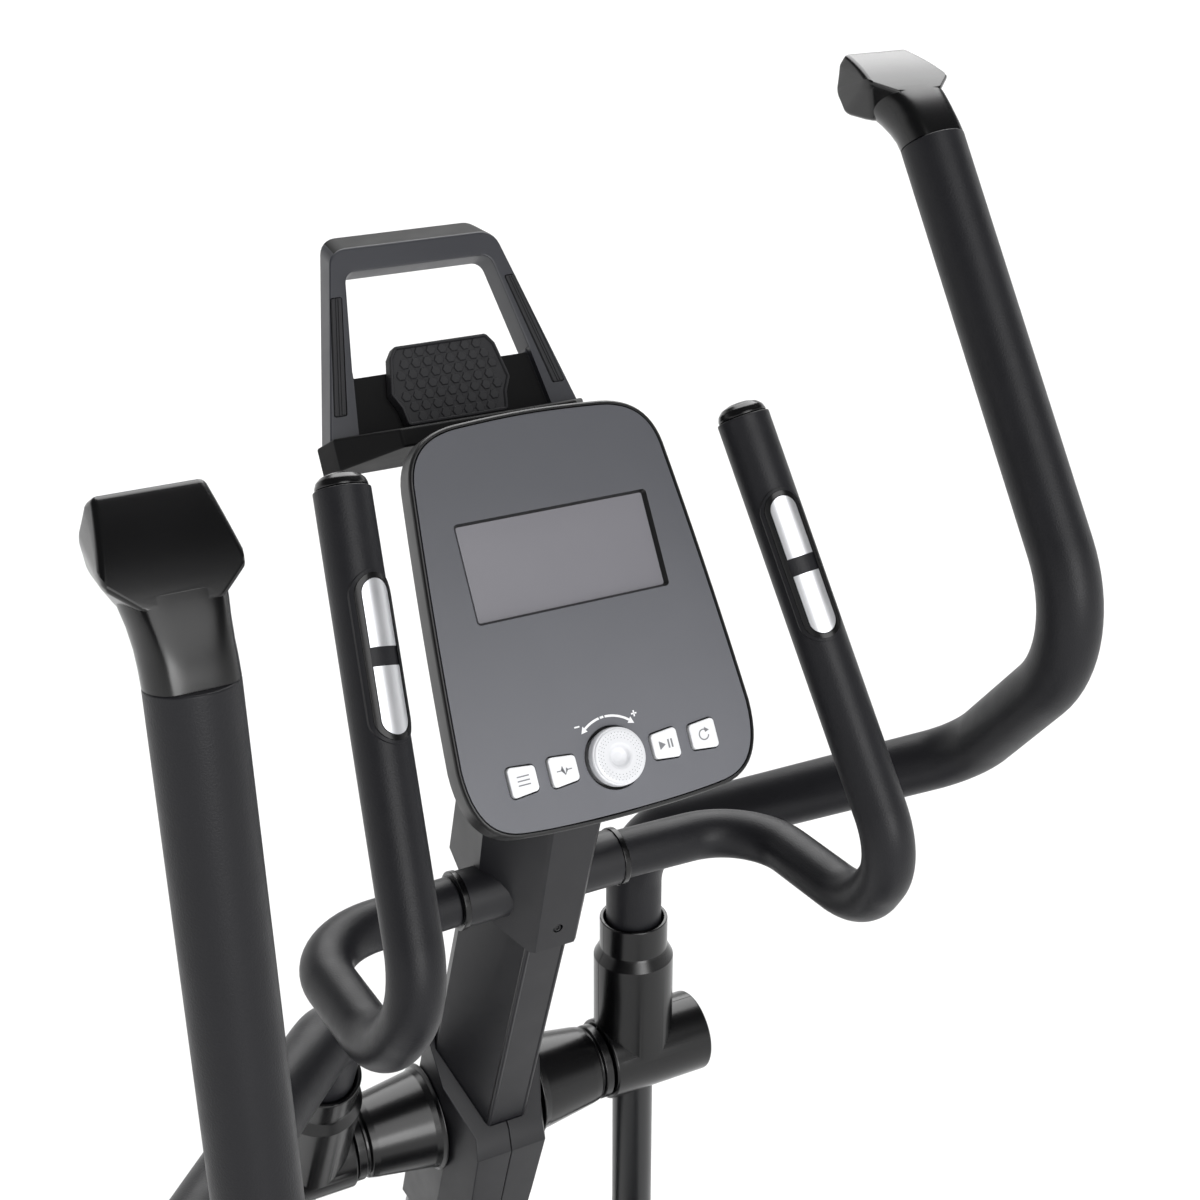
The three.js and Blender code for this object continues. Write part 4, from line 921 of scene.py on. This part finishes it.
marks = []
for start, end in ((ARROW_ENDS[0], 99), (97, 91.5), (89.5, ARROW_ENDS[1])):
    marks.append(plate(ribbon(arc((0, BUTTON_ROW), ARROW_R, start, end, 12), 1.4), PRINT))
for angle, way in zip(ARROW_ENDS, (1, -1)):
    tip = round_dial(ARROW_R, angle + 8 * way)
    low, high = [round_dial(r, angle - way) for r in (ARROW_R - ARROW_HEAD, ARROW_R + ARROW_HEAD)]
    marks.append(plate([tip, low, high], PRINT))
for x, lines in ((-19.4, ((1.7, 0),)), (19.8, ((1.9, 0), (0, 1.9)))):
    for dx, dy in lines:
        ends = [(x - dx, SIGN_Y - dy), (x + dx, SIGN_Y + dy)]
        marks.append(plate(ribbon(ends, 0.9), PRINT))
piece("dial_arrow", joined(marks), CONSOLE, "frame", "key_white", "white_ink")

# The housing behind the face closes in towards its back: share of the face's size, and depth.
HOUSING = [
    (0.86, -18.3), (0.86, -25), (0.845, -39), (0.82, -48), (0.77, -55), (0.71, -58.7), (0.62, -59),
]
housing_rings = [[Vector((p.x, p.y, z)) for p in face_outline(scale)] for scale, z in HOUSING]
piece("console_housing", skin(housing_rings), CONSOLE, "frame", "satin_black", "satin", ["console_back"])

# ---------------------------------------------------------------- tablet holder
HOLDER_BACK = HOLDER_FRONT - HOLDER_THICK
SILL = 152  # lower edge of the opening
OPENING_TOP = 221
FRAME_TOP = 251
TOP_SLOPE = 14  # how much higher the frame's top is at the back than at the front
TOP_FLARE = 0.045  # how much wider the frame's top is at the front than at the back
STRIP_LOW = 128
STRIP_HIGH = 205


def strip_outline(side, grow, share=(0, 1)):
    """A rubber strip in a leg, or a share of its width."""
    low, high = STRIP_LOW - grow, STRIP_HIGH + grow
    left, right = [(74.7 - grow, 58.8 - grow), (83 + grow, 66.2 + grow)]
    near = [a + (b - a) * share[0] for a, b in zip(left, right)]
    far = [a + (b - a) * share[1] for a, b in zip(left, right)]
    corners = [(near[0], low), (far[0], low), (far[1], high), (near[1], high)]
    return outline([(side * x, y) for x, y in corners], 1.6 if share == (0, 1) else 0.7)


# The recess behind the phone rest, below the opening.
WELL = both([(70.7, SHELF_TOP - 6), (63.6, SILL + 3)])


def holder():
    """The frame that a tablet leans on; its top slopes up towards the back."""
    outer = outline(both([(90.5, SHELF_TOP - 4), (56.5, FRAME_TOP)]), [3, 13, 13, 3])
    inner = outline(both([(64, SILL), (52, OPENING_TOP)]), [3, 8, 8, 3])
    whole = plate(outer, edge_profile(HOLDER_BACK, HOLDER_FRONT, 1.4, 4))
    for vertex in whole.verts:
        if vertex.co.y > OPENING_TOP + 5:
            share = (vertex.co.z - HOLDER_BACK) / HOLDER_THICK
            vertex.co.x *= 1 + TOP_FLARE * share
            vertex.co.y -= TOP_SLOPE * share
    # The opening widens in a small curve at the front and at the back.
    flare = [(-2.6, -1.2), (-1.4, 0), (-0.4, 0.4), (0, 1.4)]
    opening = [(d, HOLDER_BACK + z) for d, z in flare]
    opening += [(d, HOLDER_FRONT - z) for d, z in reversed(flare)]
    whole = combine(whole, plate(inner, opening), "DIFFERENCE")
    well = plate(outline(WELL, 0.5), [(0, HOLDER_FRONT - 6), (0, HOLDER_FRONT + 5)])
    whole = combine(whole, well, "DIFFERENCE")
    for side in (-1, 1):
        slot = plate(strip_outline(side, 0.5), [(0, HOLDER_FRONT - 3), (0, HOLDER_FRONT + 5)])
        whole = combine(whole, slot, "DIFFERENCE")
    return whole


SHELF_BOTTOM = 92
SHELF_KINK = -101  # where the shelf starts to narrow and to fall
SHELF_FALL = 0.2


def shelf():
    """The shelf at the holder's foot; its top falls away towards the user."""
    loop = outline(both([(94, HOLDER_BACK), (90, SHELF_KINK), (62, -55)]), 3)
    board = plate(loop, edge_profile(SHELF_BOTTOM, SHELF_TOP, 1.6, 3))
    for vertex in board.verts:
        if vertex.co.z > (SHELF_BOTTOM + SHELF_TOP) / 2:
            vertex.co.z -= max(0, vertex.co.y - SHELF_KINK) * SHELF_FALL
    return board


frame_piece = piece("holder_frame", holder(), CONSOLE, "frame", "satin_black", "holder",
                    ["tablet_holder"], 32)
# The faces that look upwards take the darker matt black: painted shade, which draws the
# holder's top darker than its front because of how the light falls.
UPWARD = (CONSOLE.to_3x3() @ Vector((0, 1, 0.2))).normalized()
UPWARD_SHARE = 0.75
frame_piece.data.materials.append(FINISH["matt"])
for face in frame_piece.data.polygons:
    if face.normal.dot(UPWARD) > UPWARD_SHARE:
        face.material_index = 1
piece("holder_shelf", shelf(), CONSOLE @ FLAT, "frame", "satin_black", "matt")
backing = outline(both([(69.5, SHELF_TOP + 0.3), (63.7, SILL)]), 0.5)
piece("holder_well", plate(backing, [(0, HOLDER_FRONT - 6.1), (0, HOLDER_FRONT - 5.7)]),
      CONSOLE, "frame", "satin_black", "matt")
# The lug that carries the holder runs into the housing's back.
LUG_SIZE = (80, 50)
LUG_Y = 69
LUG_BACK = -75
LUG_FRONT = -50
lug = plate(rectangle(LUG_SIZE, 4), edge_profile(LUG_BACK, LUG_FRONT, 1.5, 3))
piece("holder_lug", lug, CONSOLE @ at((0, LUG_Y, 0)), "frame", "satin_black", "satin")

FOOT_WIDTH = 60
FOOT_LOW = (85, -122.5, 340)  # length, middle and height of its lower end, from the axle
FOOT_HIGH = (52, -86, -56)  # length, middle and depth of its upper end, from the face's centre
FOOT_CORNER = 8
FOOT_LEVELS = 10
FOOT_WAIST = 0.1  # how much narrower the foot is half-way up


def console_foot():
    """The foot that carries the console, from inside the neck to inside the housing."""
    from_axle = CONSOLE.inverted() @ AXLE
    ends = []
    for length, middle, level in (FOOT_LOW, FOOT_HIGH):
        loop = rectangle((FOOT_WIDTH, length), FOOT_CORNER)
        ends.append([Vector((p.x, p.y + middle, level)) for p in loop])
    in_neck = [from_axle @ p for p in ends[0]]
    in_housing = ends[1]
    rings = []
    for share in (k / FOOT_LEVELS for k in range(FOOT_LEVELS + 1)):
        waist = 1 - FOOT_WAIST * math.sin(math.pi * share)
        ring = [low.lerp(high, share) for low, high in zip(in_neck, in_housing)]
        rings.append([Vector((p.x * waist, p.y, p.z)) for p in ring])
    return skin(rings)


piece("console_foot", console_foot(), CONSOLE, "frame", "satin_black", "satin")
for side, name in ((1, "R"), (-1, "L")):
    bed = plate(strip_outline(side, 0), edge_profile(HOLDER_FRONT - 2.6, HOLDER_FRONT - 0.1, 0.3, 2))
    rib_edge = edge_profile(HOLDER_FRONT - 1, HOLDER_FRONT + 0.7, 0.35, 2)
    ribs = [plate(strip_outline(side, -0.3, share), rib_edge)
            for share in ((0, 0.36), (0.4, 0.6), (0.64, 1))]
    piece(f"holder_strip_{name}_rubber", joined([bed, *ribs]), CONSOLE, "frame", "rubber", "rubber",
          [f"holder_strip_{name}"])


STUD_R = 3.7
STUD_PITCH = 8.2
ROW_PITCH = STUD_PITCH * 0.87


def phone_rest():
    """The rubber pad in the middle: a raised rim round staggered six-sided studs."""
    low, high = HOLDER_FRONT - 5.5, HOLDER_FRONT + 4.5
    bed = SHELF_TOP + 0.6
    loop = outline(both([(36, bed), (38, 126), (43, 136), (38, 160), (33, 167)]), 3)
    pad = plate(loop, [(1, low), (0, low + 1), (0, high - 1.4), (0.4, high - 0.4), (1.1, high),
                       (1.7, high), (2.2, high - 0.4), (2.6, high - 1.3)])
    studs = [pad]
    for row in range(7):
        y = bed + 5 + row * ROW_PITCH
        # The pad is widest at 137, and so are its rows.
        reach = 31 + 5 * max(0, 1 - abs(y - 137) / 22)
        for column in range(-5, 6):
            x = (column + row % 2 / 2) * STUD_PITCH
            if abs(x) > reach:
                continue
            corners = arc((x, y), STUD_R, 0, 300, 5)
            studs.append(plate(corners, [(0, high - 1.6), (0, high - 0.8), (0.5, high - 0.3)]))
    return joined(studs)


piece("phone_rest", phone_rest(), CONSOLE, "frame", "rubber", "rubber", ["phone_pad"])

# ---------------------------------------------------------------- base, rails and drive
# How wide the rounding is on the hard edges of each node, its slot and its finish.
BASE = {
    "base_beam": (1.5, "painted_steel", "paint"),
    "front_stabilizer": (2, "painted_steel", "paint"),
    "rear_stabilizer": (2, "painted_steel", "paint"),
    "mast_lower": (1.5, "painted_steel", "paint"),
    "rear_end_cap_R": (2, "rubber", "rubber"),
    "rear_end_cap_L": (2, "rubber", "rubber"),
    "transport_wheel_R": (1, "satin_black", "satin"),
    "transport_wheel_L": (1, "satin_black", "satin"),
    "drive_cover_R": (2, "satin_black", "holder"),
    "drive_cover_L": (2, "satin_black", "holder"),
    "power_inlet": (0.5, "satin_black", "black_gap"),
    "crank_arm_R": (1.2, "painted_steel", "paint"),
    "crank_arm_L": (1.2, "painted_steel", "paint"),
    "rail_R": (1.2, "painted_steel", "paint"),
    "rail_L": (1.2, "painted_steel", "paint"),
    "pedal_R": (1.2, "rubber", "rubber"),
    "pedal_L": (1.2, "rubber", "rubber"),
}
for node, (edge, slot, finish) in BASE.items():
    polished(node, edge, slot, finish)

# Every CAD node that still shows keeps its shape and takes a finish here.
KEPT = {
    "fixed_handlebar": "paint", "pivot_axle": "steel", "crank_axle": "steel", "drive_pulley": "satin",
    "drive_belt": "rubber", "flywheel": "steel", "magnet_brake": "steel",
}
for node, finish in KEPT.items():
    data = frame["nodes"][node].data
    data.materials.clear()
    data.materials.append(FINISH[finish])

# ---------------------------------------------------------------- camera, floor and light
EYE = Vector((-0.5309, -1.1764, 0.9799))  # metres from the arm axle
EYE_ANGLES = (66.45, 0, -28.56)
camera = bpy.data.objects.new("camera", bpy.data.cameras.new("camera"))
camera.location = AXLE_POINT + EYE
camera.rotation_euler = [math.radians(a) for a in EYE_ANGLES]
camera.data.sensor_width = 36
camera.data.lens = 61.39
camera.data.clip_end = 200
bpy.context.scene.collection.objects.link(camera)
bpy.context.scene.camera = camera

FLOOR_HALF = 60  # metres
mesh = bpy.data.meshes.new("floor")
corners = [(FLOOR_HALF * x, FLOOR_HALF * y, 0) for x, y in ((-1, -1), (1, -1), (1, 1), (-1, 1))]
mesh.from_pydata(corners, [], [(0, 1, 2, 3)])
mesh.materials.append(surface(
    "studio_floor", "#f4f4f4", 0.9, specular=0.2, spread=0.01, patch=900, grain=30, bump=0.02,
))
floor = bpy.data.objects.new("floor", mesh)
bpy.context.scene.collection.objects.link(floor)
floor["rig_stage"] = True

# The studio's walls are white near the floor and darken upwards.
WALL_LOW = 0.12  # where they start to darken, as a share of the way to straight up
WALL_HIGH = 0.42
WALL_DIM = 0.12  # how bright they are above that
world = bpy.data.worlds.new("studio")
world.use_nodes = True
tree = world.node_tree
background = tree.nodes["Background"]
background.inputs["Color"].default_value = (1, 1, 1, 1)
place = tree.nodes.new("ShaderNodeTexCoord")
apart = tree.nodes.new("ShaderNodeSeparateXYZ")
wall = tree.nodes.new("ShaderNodeMapRange")
wall.interpolation_type = "SMOOTHSTEP"
wall.inputs["From Min"].default_value = WALL_LOW
wall.inputs["From Max"].default_value = WALL_HIGH
wall.inputs["To Min"].default_value = 1
wall.inputs["To Max"].default_value = WALL_DIM
tree.links.new(place.outputs["Generated"], apart.inputs["Vector"])
tree.links.new(apart.outputs["Z"], wall.inputs["Value"])
tree.links.new(wall.outputs["Result"], background.inputs["Strength"])
bpy.context.scene.world = world
bpy.context.scene.view_settings.view_transform = "Standard"


def sun(name, azimuth, height, strength, spread):
    """A wide soft light from far away, from a compass angle and a height above the floor."""
    data = bpy.data.lights.new(name, "SUN")
    data.energy = strength
    data.angle = math.radians(spread)
    light = bpy.data.objects.new(name, data)
    a, e = math.radians(azimuth), math.radians(height)
    away = Vector((math.sin(a) * math.cos(e), -math.cos(a) * math.cos(e), math.sin(e)))
    light.rotation_mode = "QUATERNION"
    light.rotation_quaternion = away.to_track_quat("Z", "Y")
    bpy.context.scene.collection.objects.link(light)


# Compass angle and height in degrees, strength, and width in degrees.
sun("back", 150, 48, 3.2, 56)
sun("front_high", -2, 36, 1.3, 44)
sun("front_low", -1, 9, 1.1, 26)
sun("right_rim", 92, 14, 0.15, 24)

low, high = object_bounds()
{"cad": [list(v) for v in CAD_BOX], "visual": [list(low), list(high)]}
